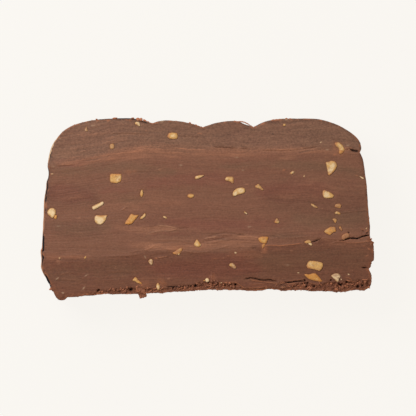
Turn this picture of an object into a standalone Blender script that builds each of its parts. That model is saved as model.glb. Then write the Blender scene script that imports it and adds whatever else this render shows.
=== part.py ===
"""Gianduja bar: a thick slice cut straight across a moulded block of gianduja with chopped hazelnut.

The slice lies on its back cut face, with the front cut face up. +X runs along the slice and +Y points at
the lobed top of the block, so the lobes and shoulders are moulded walls that run from face to face.
The pieces of hazelnut stand a little proud of the cut. The joints between the poured layers open into
cracks at the right end, and the edge where the knife left the block has crumbled away.
Sizes are in millimetres here and become metres where a mesh is made. The solid is one fused piece.
"""

import math
import random

import bmesh
import bpy
from mathutils import Matrix, Vector, noise
from mathutils.geometry import delaunay_2d_cdt

MM = 0.001

# Driving sizes of the slice.
THICKNESS = 22.0
LEAN = Vector((-0.3, 0.2))  # the back face sits this far from the front one: the cut was a little oblique
BOX_CENTRE = Vector((-0.10, -0.09))  # middle of the slice's box, in the coordinates of the outline

# Lobed top of the block: crests, the notches between them and how full each side of a lobe is.
LEFT_CREST = (-28.5, 32.6)
SECOND_CREST = (-14.7, 31.8)
THIRD_CREST = (9.3, 31.6)
RIGHT_CREST = (33.4, 32.45)
LEFT_NOTCH = (-19.6, 30.75)
MIDDLE_NOTCH = (-1.5, 29.3)
RIGHT_NOTCH = (17.2, 29.2)
STEEP_LOBE = 1.6
SOFT_LOBE = 2.0
FULL_LOBE = 4.0

# Shoulders and the other edges: knots, run anticlockwise as seen from above.
RIGHT_SHOULDER = [(54.95, 20.3), (55.3, 21.0), (55.5, 21.9), (55.3, 23.2), (54.65, 24.6), (53.5, 26.0), (51.7, 27.45),
                  (49.4, 28.9), (46.9, 30.2), (43.7, 31.35), (40.6, 32.15), (37.5, 32.42), (33.4, 32.45)]
LEFT_SHOULDER = [(-28.5, 32.6), (-32.5, 32.5), (-36.2, 32.3), (-39.5, 32.05), (-42.7, 31.6), (-45.5, 30.9),
                 (-48.1, 30.1), (-50.1, 29.1), (-51.8, 27.9), (-53.1, 26.7), (-54.3, 25.2), (-55.5, 23.4),
                 (-56.3, 21.6), (-56.95, 19.2), (-57.3, 17.2), (-57.5, 15.2)]
LEFT_SIDE = [(-57.5, 15.2), (-57.1, 13.1), (-57.25, 11.2), (-57.85, 9.5), (-58.1, 7.0), (-58.75, 2.8), (-58.9, -1.5),
             (-59.15, -7.0), (-59.55, -13.8), (-60.0, -15.3), (-59.7, -18.4), (-59.9, -20.7)]
LEFT_TOE = [(-59.9, -20.7), (-59.3, -22.9), (-58.1, -25.1), (-56.9, -27.3), (-56.3, -29.0), (-55.4, -30.2),
            (-54.6, -31.4), (-53.6, -32.6), (-52.4, -33.0), (-51.3, -32.8), (-50.4, -31.85)]
BASE_EDGE = [(-50.4, -31.85), (-48.1, -32.0), (-45.0, -31.45), (-40.6, -31.15), (-37.3, -30.75), (-30.0, -30.75),
             (-22.0, -30.5), (-16.8, -30.4), (-12.5, -30.0), (-7.1, -29.7), (-1.7, -29.3), (9.0, -29.25),
             (15.6, -29.55), (19.9, -29.3), (22.6, -28.95), (25.3, -29.2), (27.5, -29.5), (33.4, -29.25),
             (38.3, -29.7), (43.7, -29.72), (46.9, -30.1), (50.2, -29.75), (53.9, -29.3), (56.6, -29.45)]
RIGHT_HEEL = [(56.6, -29.45), (58.0, -28.7), (59.0, -27.3), (59.3, -25.8), (59.15, -24.2), (58.7, -22.9), (58.1, -21.8)]
RIGHT_LEDGE = [(58.1, -21.8), (58.9, -20.7), (59.2, -19.3), (60.2, -18.2), (60.4, -16.4), (60.0, -14.8), (59.8, -13.0),
               (60.0, -12.1), (58.85, -11.3)]
RIGHT_SIDE = [(58.85, -11.3), (58.6, -8.5), (58.65, -6.4), (58.3, -3.0), (58.0, 0.5), (57.7, 5.1), (57.4, 9.0),
              (56.9, 12.5), (56.5, 15.6), (56.0, 18.1), (55.4, 19.5), (54.95, 20.3)]
CLEAN_SIDE = 58.8  # where the right side runs below the torn heel and ledge

# Walls: heights of their rings as shares of the thickness, and how far each ring stands out (+) or in (-).
WALL_RINGS = [(0.0, -0.45), (0.025, -0.05), (0.35, 0.1), (0.7, -0.15), (0.97, 0.0), (1.0, -0.3)]
WALL_WAVE = 0.35

# Cracks along the joints of the poured layers: points, half width and depth.
CRACKS = {
    "lower_joint": (
        [(46.9, -11.5), (49.6, -11.6), (52.1, -11.1), (54.3, -10.85), (55.7, -10.0), (57.9, -9.3)], 0.42, 1.6
    ),
    "upper_joint": ([(51.2, 19.7), (52.6, 19.9), (54.8, 19.7)], 0.50, 1.5),
    "base_flap": ([(14.1, -25.1), (18.0, -25.0), (20.9, -25.7), (24.4, -25.8)], 0.30, 0.8),
    "base_flap_end": ([(28.1, -26.6), (30.4, -26.5), (32.5, -26.0), (34.7, -26.2)], 0.32, 0.8),
    "heel_nick": ([(55.6, -21.2), (57.2, -21.4)], 0.35, 1.2),
}

# Crumbled edge: height of the band above the base edge at stations along the slice, and its pits.
CRUMBLED_BAND = [(-44, 0.0), (-38, 1.6), (-29, 2.8), (-13, 2.2), (-4, 2.6), (0.6, 4.2), (4, 2.9), (11, 2.2),
                 (13, 0.8), (27, 0.8), (34, 3.0), (44, 4.0), (52, 3.6), (59, 4.0)]
CRUMBLED_DEPTH = 0.9
CRAGS = 0.9
PITS = [(-39.1, -29.5, 0.6), (-27.4, -29.1, 0.9), (-4.1, -27.7, 0.7), (-3.0, -26.8, 0.6), (10.4, -27.6, 0.6),
        (35.2, -28.1, 0.7), (38.6, -28.0, 0.6), (45.1, -26.9, 0.6), (47.9, -27.2, 1.0), (50.9, -26.8, 0.8),
        (55.2, -27.7, 1.2)]
PIT_DEPTH = 1.5

# Pieces of hazelnut that show in the cut: place, length, width and turn in degrees.
HAZELNUTS = [
    (-12.4, 26.2, 3.7, 2.4, 0), (-25.1, 30.3, 2.5, 1.7, -25), (-43.5, 28.8, 1.5, 1.1, 80),
    (-34.3, 22.4, 1.9, 1.7, 20), (-32.9, 10.8, 4.1, 3.4, 5), (-23.6, 5.5, 2.8, 1.2, 85),
    (-39.2, 1.1, 4.4, 1.7, 28), (-38.3, -3.8, 4.4, 3.4, 12), (-27.3, -3.7, 5.0, 2.6, 38),
    (-23.3, -2.7, 2.4, 1.7, 45), (-15.2, -3.1, 1.2, 0.9, -30), (-55.7, -1.7, 3.8, 3.1, -50),
    (-2.7, 11.4, 3.5, 1.5, 12), (8.0, 10.5, 3.1, 2.2, -20), (11.5, 6.0, 4.7, 2.9, 14),
    (-5.9, 4.7, 2.3, 1.6, -5), (18.7, 7.8, 3.1, 1.8, -32), (27.7, 30.1, 1.3, 0.9, 0),
    (30.6, 13.1, 1.8, 1.1, -20), (44.3, 14.9, 5.6, 3.7, 80), (47.8, 22.0, 4.3, 2.5, -52),
    (43.5, 5.2, 4.1, 2.6, -15), (38.5, 1.0, 2.5, 1.2, -30), (47.1, 1.0, 2.3, 1.4, -5),
    (47.0, -1.4, 1.9, 1.1, -20), (45.9, -4.4, 1.5, 1.4, 60), (44.4, -7.9, 4.1, 3.0, 15),
    (48.1, -7.3, 1.9, 1.2, -60), (49.6, -10.0, 3.0, 2.3, 40), (25.1, -4.4, 2.2, 1.7, 25),
    (13.8, -1.5, 1.4, 0.7, -38), (20.3, -11.6, 3.6, 2.8, 25), (36.5, -12.3, 2.6, 1.6, -20),
    (-3.5, -12.4, 2.8, 2.3, 75), (-10.9, -15.3, 3.9, 2.4, 15), (-20.3, -19.1, 2.4, 2.0, -60),
    (8.9, -20.7, 3.0, 2.0, -35), (38.8, -20.7, 5.9, 3.8, -5), (38.4, -24.8, 6.4, 3.0, -20),
    (46.6, -24.6, 3.6, 3.2, -50), (-25.2, -26.0, 4.2, 1.7, -40), (-17.6, -28.0, 2.7, 1.3, 85),
    (-0.1, -25.7, 1.7, 1.3, 20), (-53.7, -18.2, 1.5, 1.2, 60), (-44.0, -17.4, 1.6, 0.8, 60),
]
HAZELNUT_SINK = 0.9
HAZELNUT_PROUD = 0.4

# Crumbs that cling to the crumbled edge, as place and size, and the chip that hangs out over it.
CRUMBS = [(-31.8, -29.6, 1.1), (-21.4, -28.9, 1.2), (-19.6, -28.2, 1.0), (-14.0, -28.6, 0.9),
          (1.8, -27.0, 1.1), (7.4, -27.4, 0.9), (27.2, -27.9, 1.5), (33.0, -27.6, 1.0), (42.0, -27.6, 1.1),
          (53.2, -26.9, 1.2), (57.2, -25.6, 1.0)]
CHIP_CENTRE = Vector((-23.8, -29.8))
CHIP_LENGTH = 2.9
CHIP_REACH = 4.6
CHIP_DEPTH = 1.3
CHIP_TURN = math.radians(20)
CHIP_DROOP = 1.1

# Spacing of the mesh.
EDGE_STEP = 1.35
FACE_STEP = 2.3
BAND_STEP = 1.0
EDGE_CLEARANCE = 0.6

SEED = 27


# ---- Outline of the cut face ----


def half_lobe(crest, notch, fullness):
    """Points of one side of a lobe, from its crest down to the notch beside it."""
    points = []
    for i in range(25):
        share = i / 24
        x = crest[0] + (notch[0] - crest[0]) * share
        points.append((x, notch[1] + (crest[1] - notch[1]) * (1 - share**fullness)))
    return points


def smooth_through(knots):
    """A Catmull-Rom curve through the knots."""
    ends = [knots[0], *knots, knots[-1]]
    points = [knots[0]]
    for a, b, c, d in zip(ends, ends[1:], ends[2:], ends[3:]):
        for i in range(1, 9):
            t = i / 8
            points.append(tuple(
                0.5 * (2 * b[k] + (c[k] - a[k]) * t + (2 * a[k] - 5 * b[k] + 4 * c[k] - d[k]) * t**2
                       + (3 * b[k] - a[k] - 3 * c[k] + d[k]) * t**3)
                for k in (0, 1)
            ))
    return points


def spread(points, step):
    """The points of a span spaced evenly, with its first point kept and its last left to the next span."""
    lengths = [0.0]
    for a, b in zip(points, points[1:]):
        lengths.append(lengths[-1] + math.dist(a, b))
    count = max(1, round(lengths[-1] / step))
    spaced = []
    j = 0
    for i in range(count):
        want = lengths[-1] * i / count
        while lengths[j + 1] < want:
            j += 1
        share = (want - lengths[j]) / max(lengths[j + 1] - lengths[j], 1e-9)
        spaced.append(Vector(points[j]).lerp(Vector(points[j + 1]), share))
    return spaced


def roughness(x, y):
    """How far the wall wanders: least on the moulded lobes, most along the base and the torn right ledge."""
    if y < -20 or (x > 50 and y < -8):
        return 0.24
    return 0.05


def outline(step):
    """The front cut face's edge, anticlockwise, as points with their outward normals."""
    spans = [
        smooth_through(RIGHT_SHOULDER),
        half_lobe(RIGHT_CREST, RIGHT_NOTCH, FULL_LOBE),
        half_lobe(THIRD_CREST, RIGHT_NOTCH, SOFT_LOBE)[::-1],
        half_lobe(THIRD_CREST, MIDDLE_NOTCH, SOFT_LOBE),
        half_lobe(SECOND_CREST, MIDDLE_NOTCH, SOFT_LOBE)[::-1],
        half_lobe(SECOND_CREST, LEFT_NOTCH, SOFT_LOBE),
        half_lobe(LEFT_CREST, LEFT_NOTCH, STEEP_LOBE)[::-1],
    ]
    for knots in (LEFT_SHOULDER, LEFT_SIDE, LEFT_TOE, BASE_EDGE, RIGHT_HEEL, RIGHT_LEDGE, RIGHT_SIDE):
        spans.append(smooth_through(knots))
    points = [p for span in spans for p in spread(span, step)]
    normals = []
    for i in range(len(points)):
        along = points[(i + 1) % len(points)] - points[i - 1]
        normals.append(Vector((along.y, -along.x)).normalized())
    return points, normals


# ---- Relief of the cut face ----


def station(table, x):
    """Straight-line reading of a table of stations."""
    for (x0, v0), (x1, v1) in zip(table, table[1:]):
        if x <= x1:
            return v0 + (v1 - v0) * max(0.0, (x - x0) / (x1 - x0))
    return table[-1][1]


def crumbled(x, y, base_curve):
    """1 well inside the crumbled band, 0 above it."""
    top = station(base_curve, x) + station(CRUMBLED_BAND, x) + 0.5 * noise.noise(Vector((x * 0.9, 0.0, 5.1)))
    return min(1.0, max(0.0, (top - y) / 0.7))


def face_height(x, y, base_curve):
    """Height of the cut face over the slice's thickness."""
    drag = 0.22 * noise.noise(Vector((x * 0.022, y * 0.16, 0.4)))
    lumps = 0.06 * noise.noise(Vector((x * 0.3, y * 0.45, 8.0)))
    height = drag + lumps
    loose = crumbled(x, y, base_curve)
    if loose > 0:
        crags = noise.noise(Vector((x * 0.8, y * 0.9, 2.2)))
        height -= loose * (CRUMBLED_DEPTH + CRAGS * crags)
    for px, py, radius in PITS:
        share = math.dist((x, y), (px, py)) / radius
        if share < 1:
            height -= PIT_DEPTH * (1 - share**2)
    return height


def beside(points, offset):
    """The points of a line moved sideways."""
    moved = []
    for i, here in enumerate(points):
        along = points[min(i + 1, len(points) - 1)] - points[max(i - 1, 0)]
        moved.append(here + Vector((-along.y, along.x)).normalized() * offset)
    return moved


def crack_lines():
    """Each crack's two lips and its floor, as lines of (point, depth)."""
    lines = []
    for knots, half_width, depth in CRACKS.values():
        middle = spread(smooth_through(knots), 1.0) + [Vector(knots[-1])]
        lines.append([(p, depth) for p in middle])
        for side in (-half_width, half_width):
            lines.append([(p, 0.0) for p in beside(middle, side)])
    return lines


def inside(point, loop):
    """True if the point lies inside the loop."""
    crossings = 0
    for a, b in zip(loop, loop[1:] + loop[:1]):
        if (a.y > point.y) != (b.y > point.y):
            crossings += point.x < a.x + (b.x - a.x) * (point.y - a.y) / (b.y - a.y)
    return crossings % 2 == 1


def clearance(point, others):
    """Distance to the nearest of the other points."""
    return min((point - other).length for other in others)


def face_points(rim, base_curve, kept_clear):
    """Points inside the rim, in rows along the knife's drag and closer together in the crumbled band."""
    draw = random.Random(SEED)
    found = []
    y = min(p.y for p in rim)
    while y < max(p.y for p in rim):
        in_band = y < -24
        step = BAND_STEP if in_band else FACE_STEP
        x = min(p.x for p in rim) + step * draw.random()
        while x < max(p.x for p in rim):
            point = Vector((x, y + draw.uniform(-0.2, 0.2) * step))
            near_band = point.y < station(base_curve, x) + station(CRUMBLED_BAND, x) + 1.2
            if (near_band or not in_band or draw.random() < 0.3) and inside(point, rim):
                if clearance(point, rim) > EDGE_CLEARANCE and clearance(point, kept_clear) > EDGE_CLEARANCE:
                    found.append(point)
            x += step
        y += step * 0.87
    return found


# ---- Solids ----


def mesh_object(name, shape):
    """An object made from a bmesh in millimetres."""
    bmesh.ops.recalc_face_normals(shape, faces=shape.faces)
    bmesh.ops.translate(shape, verts=shape.verts, vec=(-BOX_CENTRE.x, -BOX_CENTRE.y, 0))
    bmesh.ops.scale(shape, verts=shape.verts, vec=(MM, MM, MM))
    mesh = bpy.data.meshes.new(name)
    shape.to_mesh(mesh)
    shape.free()
    found = bpy.data.objects.new(name, mesh)
    bpy.context.scene.collection.objects.link(found)
    return found


def ring_points(points, normals, share, stand_out):
    """The outline at one height of the wall, leaning with the slice and unevenly worn."""
    depth = THICKNESS * (1 - share)
    level = []
    for here, outward in zip(points, normals):
        wander = roughness(here.x, here.y) * noise.noise(Vector((here.x * 0.55, here.y * 0.55, depth * 0.4)))
        wave = noise.noise(Vector((here.x * 0.12, here.y * 0.12, share * 2.3)))
        wave *= WALL_WAVE * min(share, 1 - share) * 2
        spot = here + outward * (stand_out + wander + wave) + LEAN * (1 - share)
        if here.x > 56 and -26 < here.y < -11.6:
            spot.x += (CLEAN_SIDE - here.x) * min(1.0, depth / 8)
        level.append(spot)
    return level


def slice_body():
    """The slice without its nuts: relief on the cut face, rings of wall and a flat back."""
    points, normals = outline(EDGE_STEP)
    rings = [ring_points(points, normals, share, stand_out) for share, stand_out in WALL_RINGS]
    rim = rings[-1]
    base_curve = sorted((p.x, p.y) for p in spread(smooth_through(BASE_EDGE), 2.0)) + [BASE_EDGE[-1]]
    lines = crack_lines()
    on_lines = [p for line in lines for p, _ in line]
    flat = list(rim)
    edges = [(i, (i + 1) % len(rim)) for i in range(len(rim))]
    depths = {}
    for line in lines:
        kept = [(p, depth) for p, depth in line if inside(p, rim) and clearance(p, rim) > 0.25]
        for i, (p, depth) in enumerate(kept):
            depths[len(flat)] = depth
            if i:
                edges.append((len(flat) - 1, len(flat)))
            flat.append(p)
    flat += face_points(rim, base_curve, on_lines)
    placed, _, triangles, origins, _, _ = delaunay_2d_cdt(flat, edges, [], 1, 1e-6)

    shape = bmesh.new()
    top = []
    for spot, origin in zip(placed, origins):
        crack = max((depths.get(i, 0.0) for i in origin), default=0.0)
        height = THICKNESS + face_height(spot.x, spot.y, base_curve) - crack
        top.append(shape.verts.new((spot.x, spot.y, height)))
    for triangle in triangles:
        shape.faces.new([top[i] for i in triangle])
    first = {origin[0]: vert for vert, origin in zip(top, origins) if origin}
    above = [first[i] for i in range(len(rim))]
    for (share, _), ring in zip(WALL_RINGS[-2::-1], rings[-2::-1]):
        below = [shape.verts.new((p.x, p.y, share * THICKNESS)) for p in ring]
        for i in range(len(ring)):
            j = (i + 1) % len(ring)
            shape.faces.new((above[i], above[j], below[j], below[i]))
        above = below
    shape.faces.new(above)
    return mesh_object("gianduja_bar", shape), base_curve


def stacked(levels, corners):
    """A closed faceted piece from rings of points, lowest first."""
    shape = bmesh.new()
    rings = [[shape.verts.new(point) for point in level] for level in levels]
    for low, high in zip(rings, rings[1:]):
        for i in range(corners):
            j = (i + 1) % corners
            shape.faces.new((low[i], low[j], high[j], high[i]))
    shape.faces.new(rings[0][::-1])
    shape.faces.new(rings[-1])
    return shape


def uneven_piece(name, centre, half_sizes, turn, profile, draw):
    """A fragment with an uneven outline. The profile is its rings as (share of the size, height)."""
    corners = 7 if max(half_sizes) < 1.25 else 8
    radii = [draw.uniform(0.84, 1.12) for _ in range(corners)]
    facing = Matrix.Rotation(turn, 2)
    levels = []
    for size, height in profile:
        level = []
        for i, radius in enumerate(radii):
            angle = 2 * math.pi * i / corners
            reach = radius * size
            across = Vector((half_sizes[0] * math.cos(angle), half_sizes[1] * math.sin(angle)))
            flat = facing @ across * reach
            level.append((centre[0] + flat.x, centre[1] + flat.y, height))
        levels.append(level)
    return mesh_object(name, stacked(levels, corners))


def hazelnuts(base_curve, draw):
    """The chopped hazelnut in the cut: each stands a little proud, with a chamfered top."""
    made = []
    for x, y, length, width, turn in HAZELNUTS:
        floor = THICKNESS + face_height(x, y, base_curve)
        proud = HAZELNUT_PROUD * draw.uniform(0.7, 1.2)
        profile = [(0.85, floor - HAZELNUT_SINK), (1.0, floor - 0.2), (1.0, floor + proud * 0.45)]
        profile.append((0.72, floor + proud))
        half_sizes = (length / 2, width / 2)
        made.append(uneven_piece("hazelnut", (x, y), half_sizes, math.radians(turn), profile, draw))
    return made


def crumbs(base_curve, draw):
    """Crumbs that cling to the crumbled band."""
    made = []
    for x, y, size in CRUMBS:
        floor = THICKNESS + face_height(x, y, base_curve)
        profile = [(0.7, floor - size * 0.7), (1.0, floor), (0.8, floor + size * 0.4)]
        profile.append((0.4, floor + size * 0.55))
        half_sizes = (size * 0.62, size * 0.5)
        made.append(uneven_piece("crumb", (x, y), half_sizes, draw.uniform(0, math.pi), profile, draw))
    return made


def chip():
    """The chip that hangs out over the base edge, tipped down at its outer end."""
    facing = Matrix.Rotation(CHIP_TURN, 2)
    corners = [(-0.5, -0.38), (-0.1, -0.48), (0.45, -0.5), (0.5, 0.1), (0.36, 0.5), (-0.42, 0.46)]
    levels = []
    for rise, taper in ((-CHIP_DEPTH, 0.82), (-CHIP_DEPTH * 0.4, 1.0), (0.1, 0.86)):
        level = []
        for x, y in corners:
            flat = CHIP_CENTRE + facing @ Vector((x * CHIP_LENGTH * taper, y * CHIP_REACH * taper))
            level.append((flat.x, flat.y, THICKNESS + rise - CHIP_DROOP * (0.5 - y)))
        levels.append(level)
    return mesh_object("chip", stacked(levels, len(corners)))


def fuse(body, pieces):
    """One Boolean union of the body with all the small pieces, applied; the pieces are then removed."""
    group = bpy.data.collections.new("fused_pieces")
    bpy.context.scene.collection.children.link(group)
    for piece in pieces:
        bpy.context.scene.collection.objects.unlink(piece)
        group.objects.link(piece)
    union = body.modifiers.new("fuse", "BOOLEAN")
    union.operation = "UNION"
    union.operand_type = "COLLECTION"
    union.collection = group
    union.solver = "EXACT"
    bpy.context.view_layer.update()
    fused = bpy.data.meshes.new_from_object(body.evaluated_get(bpy.context.evaluated_depsgraph_get()))
    body.modifiers.clear()
    body.data = fused
    fused.name = body.name
    for piece in list(group.objects):
        bpy.data.objects.remove(piece)
    bpy.data.collections.remove(group)


def gianduja_material():
    """Matt milk-brown gianduja."""
    material = bpy.data.materials.new("gianduja")
    material.use_nodes = True
    shader = material.node_tree.nodes["Principled BSDF"]
    shader.inputs["Base Color"].default_value = (0.205, 0.092, 0.055, 1.0)
    shader.inputs["Roughness"].default_value = 0.55
    shader.inputs["Metallic"].default_value = 0.0
    return material


def main():
    for old in list(bpy.data.objects):
        bpy.data.objects.remove(old)
    body, base_curve = slice_body()
    draw = random.Random(SEED)
    fuse(body, [*hazelnuts(base_curve, draw), *crumbs(base_curve, draw), chip()])
    body.data.materials.clear()
    body.data.materials.append(gianduja_material())


main()
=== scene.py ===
"""Looks of the gianduja bar: the slice, its chopped hazelnut, its crumbs and the studio.

The slice lies on its back cut face with the front cut face up. +X runs along it and +Y points at its
lobed side. Lengths are in millimetres here and become metres where a mesh is made. The script is laid out
as an add-on: one operator makes each group of pieces, and main() calls them in order.
"""

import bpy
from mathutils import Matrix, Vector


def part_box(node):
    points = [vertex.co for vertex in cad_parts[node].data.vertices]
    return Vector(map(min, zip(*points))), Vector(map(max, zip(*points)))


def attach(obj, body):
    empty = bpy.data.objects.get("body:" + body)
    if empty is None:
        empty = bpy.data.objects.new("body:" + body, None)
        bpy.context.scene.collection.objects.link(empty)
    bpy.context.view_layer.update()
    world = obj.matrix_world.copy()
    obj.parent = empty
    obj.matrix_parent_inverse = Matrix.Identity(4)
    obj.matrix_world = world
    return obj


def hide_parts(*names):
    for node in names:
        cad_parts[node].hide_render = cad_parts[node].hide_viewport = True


bl_info = {
    "name": "Gianduja Bar",
    "version": (1, 0, 0),
    "blender": (4, 5, 0),
    "location": "View3D > Sidebar > Gianduja",
    "description": "Makes a slice of hazelnut gianduja in the frame of its solid",
    "category": "Object",
}

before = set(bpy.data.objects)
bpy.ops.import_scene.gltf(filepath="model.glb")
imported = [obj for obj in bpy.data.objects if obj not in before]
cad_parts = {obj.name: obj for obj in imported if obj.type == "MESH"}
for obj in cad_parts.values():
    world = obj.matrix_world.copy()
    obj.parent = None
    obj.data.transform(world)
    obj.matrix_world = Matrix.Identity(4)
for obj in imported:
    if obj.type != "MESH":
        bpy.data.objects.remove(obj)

import math
import random

import bmesh
import bpy
from mathutils import Euler, Matrix, Vector, noise
from mathutils.geometry import delaunay_2d_cdt
from mathutils.kdtree import KDTree

MM = 0.001
NODE = "gianduja_bar"
BODY = "root"

# ---- Sizes of the slice, in the coordinates that its outline is written in ----

THICKNESS = 22.0
LEAN = Vector((-0.3, 0.2))  # the back face sits this far from the front one
BOX_CENTRE = Vector((-0.10, -0.09))  # middle of the slice's box

LEFT_CREST = (-28.5, 32.6)
SECOND_CREST = (-14.7, 31.8)
THIRD_CREST = (9.3, 31.6)
RIGHT_CREST = (33.4, 32.45)
LEFT_NOTCH = (-19.6, 30.75)
MIDDLE_NOTCH = (-1.5, 29.3)
RIGHT_NOTCH = (17.2, 29.2)
STEEP_LOBE = 1.6
SOFT_LOBE = 2.0
FULL_LOBE = 4.0
RIGHT_SHOULDER = [
    (54.95, 20.3), (55.3, 21), (55.5, 21.9), (55.3, 23.2), (54.65, 24.6), (53.5, 26), (51.7, 27.45), (49.4, 28.9),
    (46.9, 30.2), (43.7, 31.35), (40.6, 32.15), (37.5, 32.42), (33.4, 32.45),
]
LEFT_SHOULDER = [
    (-28.5, 32.6), (-32.5, 32.5), (-36.2, 32.3), (-39.5, 32.05), (-42.7, 31.6), (-45.5, 30.9), (-48.1, 30.1),
    (-50.1, 29.1), (-51.8, 27.9), (-53.1, 26.7), (-54.3, 25.2), (-55.5, 23.4), (-56.3, 21.6), (-56.95, 19.2),
    (-57.3, 17.2), (-57.5, 15.2),
]
LEFT_SIDE = [
    (-57.5, 15.2), (-57.1, 13.1), (-57.25, 11.2), (-57.85, 9.5), (-58.1, 7), (-58.75, 2.8), (-58.9, -1.5), (-59.15, -7),
    (-59.55, -13.8), (-60, -15.3), (-59.7, -18.4), (-59.9, -20.7),
]
LEFT_TOE = [
    (-59.9, -20.7), (-59.3, -22.9), (-58.1, -25.1), (-56.9, -27.3), (-56.3, -29), (-55.4, -30.2), (-54.6, -31.4),
    (-53.6, -32.6), (-52.4, -33), (-51.3, -32.8), (-50.4, -31.85),
]
BASE_EDGE = [
    (-50.4, -31.85), (-48.1, -32), (-45, -31.45), (-40.6, -31.15), (-37.3, -30.75), (-30, -30.75), (-22, -30.5),
    (-16.8, -30.4), (-12.5, -30), (-7.1, -29.7), (-1.7, -29.3), (9, -29.25), (15.6, -29.55), (19.9, -29.3),
    (22.6, -28.95), (25.3, -29.2), (27.5, -29.5), (33.4, -29.25), (38.3, -29.7), (43.7, -29.72), (46.9, -30.1),
    (50.2, -29.75), (53.9, -29.3), (56.6, -29.45),
]
RIGHT_HEEL = [(56.6, -29.45), (58, -28.7), (59, -27.3), (59.3, -25.8), (59.15, -24.2), (58.7, -22.9), (58.1, -21.8)]
RIGHT_LEDGE = [
    (58.1, -21.8), (58.9, -20.7), (59.2, -19.3), (60.2, -18.2), (60.4, -16.4), (60, -14.8), (59.8, -13), (60, -12.1),
    (58.85, -11.3),
]
RIGHT_SIDE = [
    (58.85, -11.3), (58.6, -8.5), (58.65, -6.4), (58.3, -3), (58, 0.5), (57.7, 5.1), (57.4, 9), (56.9, 12.5),
    (56.5, 15.6), (56, 18.1), (55.4, 19.5), (54.95, 20.3),
]
CLEAN_SIDE = 58.8  # where the right side runs below the torn heel and ledge

# Walls: how far they stand out (+) or in (-) at depths below the cut face.
WALL_PROFILE = [(0.0, -0.12), (0.25, 0.0), (0.7, 0.0), (6.6, -0.15), (14.3, 0.1), (21.4, -0.05), (22.0, -0.45)]
WALL_WAVE = 0.35
FINE_RING_DEPTHS = [0.25, 0.55, 0.95, 1.02, 1.3]
RING_GAP = 0.78  # between the rings below those
# The ledge inside the left edge: height up the side, width of its outer rim, and width and darkness of the gap behind
# that, the darkness being painted shadow; and how far the gap and the rim stand back, and how dark they are with
# painted shadow, at each depth.
LEFT_LEDGE = [
    (-29, 0, 0.1, 0), (-27.8, 0, 0.5, 0.9), (-27.1, 0.05, 0.6, 1), (-26.4, 0.05, 0.65, 1), (-24.9, 0.08, 0.68, 1),
    (-24.2, 0.25, 0.45, 0.6), (-23.5, 0.2, 0.2, 0.2), (-22, 0.4, 0, 0), (-20.6, 0.35, 0.15, 0.15),
    (-19.9, 0.3, 0.35, 0.45), (-18.6, 0.2, 0.5, 0.7), (-17.9, 0.35, 0.62, 1), (-17.4, 0.4, 0.7, 1),
    (-16.9, 0.3, 0.5, 0.8), (-16.3, 0.4, 0.15, 0.15), (-15.4, 0.5, 0.25, 0.3), (-14.9, 0.5, 0.6, 1),
    (-14.2, 0.3, 0.62, 1), (-13, 0.2, 0.64, 1), (-12, 0.15, 0.64, 1), (-10.3, 0.1, 0.62, 1), (-9.6, 0.15, 0.35, 0.6),
    (-8.5, 0.3, 0.15, 0.15), (-7, 0.45, 0, 0), (-4.8, 0.45, 0, 0), (-2.6, 0.4, 0.2, 0.25), (-0.5, 0.35, 0.4, 0.5),
    (0.8, 0.4, 0.15, 0.15), (1.7, 0.45, 0.05, 0), (2.9, 0.35, 0.45, 0.8), (3.9, 0.3, 0.55, 1), (4.9, 0.2, 0.4, 0.6),
    (6, 0.15, 0.45, 0.75), (7.4, 0.2, 0.55, 0.8), (8.4, 0.22, 0.55, 0.75), (9.4, 0.15, 0.4, 0.6),
    (10.4, 0.1, 0.28, 0.45), (12.5, 0.08, 0.35, 0.55), (13.8, 0, 0.2, 0.3), (14.7, 0, 0.28, 0.45),
    (16, 0.15, 0.15, 0.1), (16.8, 0.3, 0.05, 0), (18.2, 0.42, 0.25, 0.45), (19, 0.5, 0.35, 0.8), (19.5, 0.25, 0.3, 0.6),
    (20, 0.5, 0.3, 0.55), (21.2, 0.6, 0.15, 0.2), (21.8, 0.3, 0.12, 0.3), (22.3, 0.52, 0.05, 0), (23.3, 0.45, 0, 0),
    (23.8, 0.2, 0.1, 0.2), (24.5, 0.3, 0, 0), (26, 0.15, 0, 0), (27.5, 0, 0, 0),
]
GAP_PROFILE = [(0.0, 1.0), (0.55, 1.0), (0.95, 0.0), (22.0, 0.0)]
RIM_PROFILE = [(0.0, 1.0), (0.95, 1.0), (1.02, 0.88), (1.3, 0.0), (22.0, 0.0)]
LEDGE_DARK = [(0.0, 0.3), (0.25, 0.95), (0.55, 1.0), (0.95, 1.0), (1.02, 0.0), (22.0, 0.0)]
# The same ledge on the first lobe, at stations along the slice: all of its gap dark with painted shadow.
TOP_LEDGE = [(-41.0, 0.0), (-37.5, 0.18), (-33.5, 0.22), (-31.5, 0.4), (-26.0, 0.42), (-24.6, 0.0)]
CURL_GAP = Vector((14.0, 30.9))  # where the wall stands back behind the curl

# Spacings of the curves and of the rows across the cut face.
CURVE_STEPS = 12
LOBE_STEPS = 48
LINE_STEP = 0.32
DAB_HEIGHT = 0.03
FACE_SPAN = (-61.0, -33.0, 61.0, 33.0)  # left, low, right and high limits of the rows
BAND_SPAN = (-46.0, 60.0)
BAND_MARGIN = 1.2


def line(path, half_width, depth, dark=0.0, pale=0.0, rust=0.0, flake=0.0, fade=(1.0, 1.0)):
    """A groove, with a depth above 0, or a lip, and its dark as painted shade. Its ends die away over the two lengths
    of fade.
    """
    return path, half_width, depth, fade, {"painted_shade": dark, "pale": pale, "burr": rust, "flake": flake}
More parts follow.
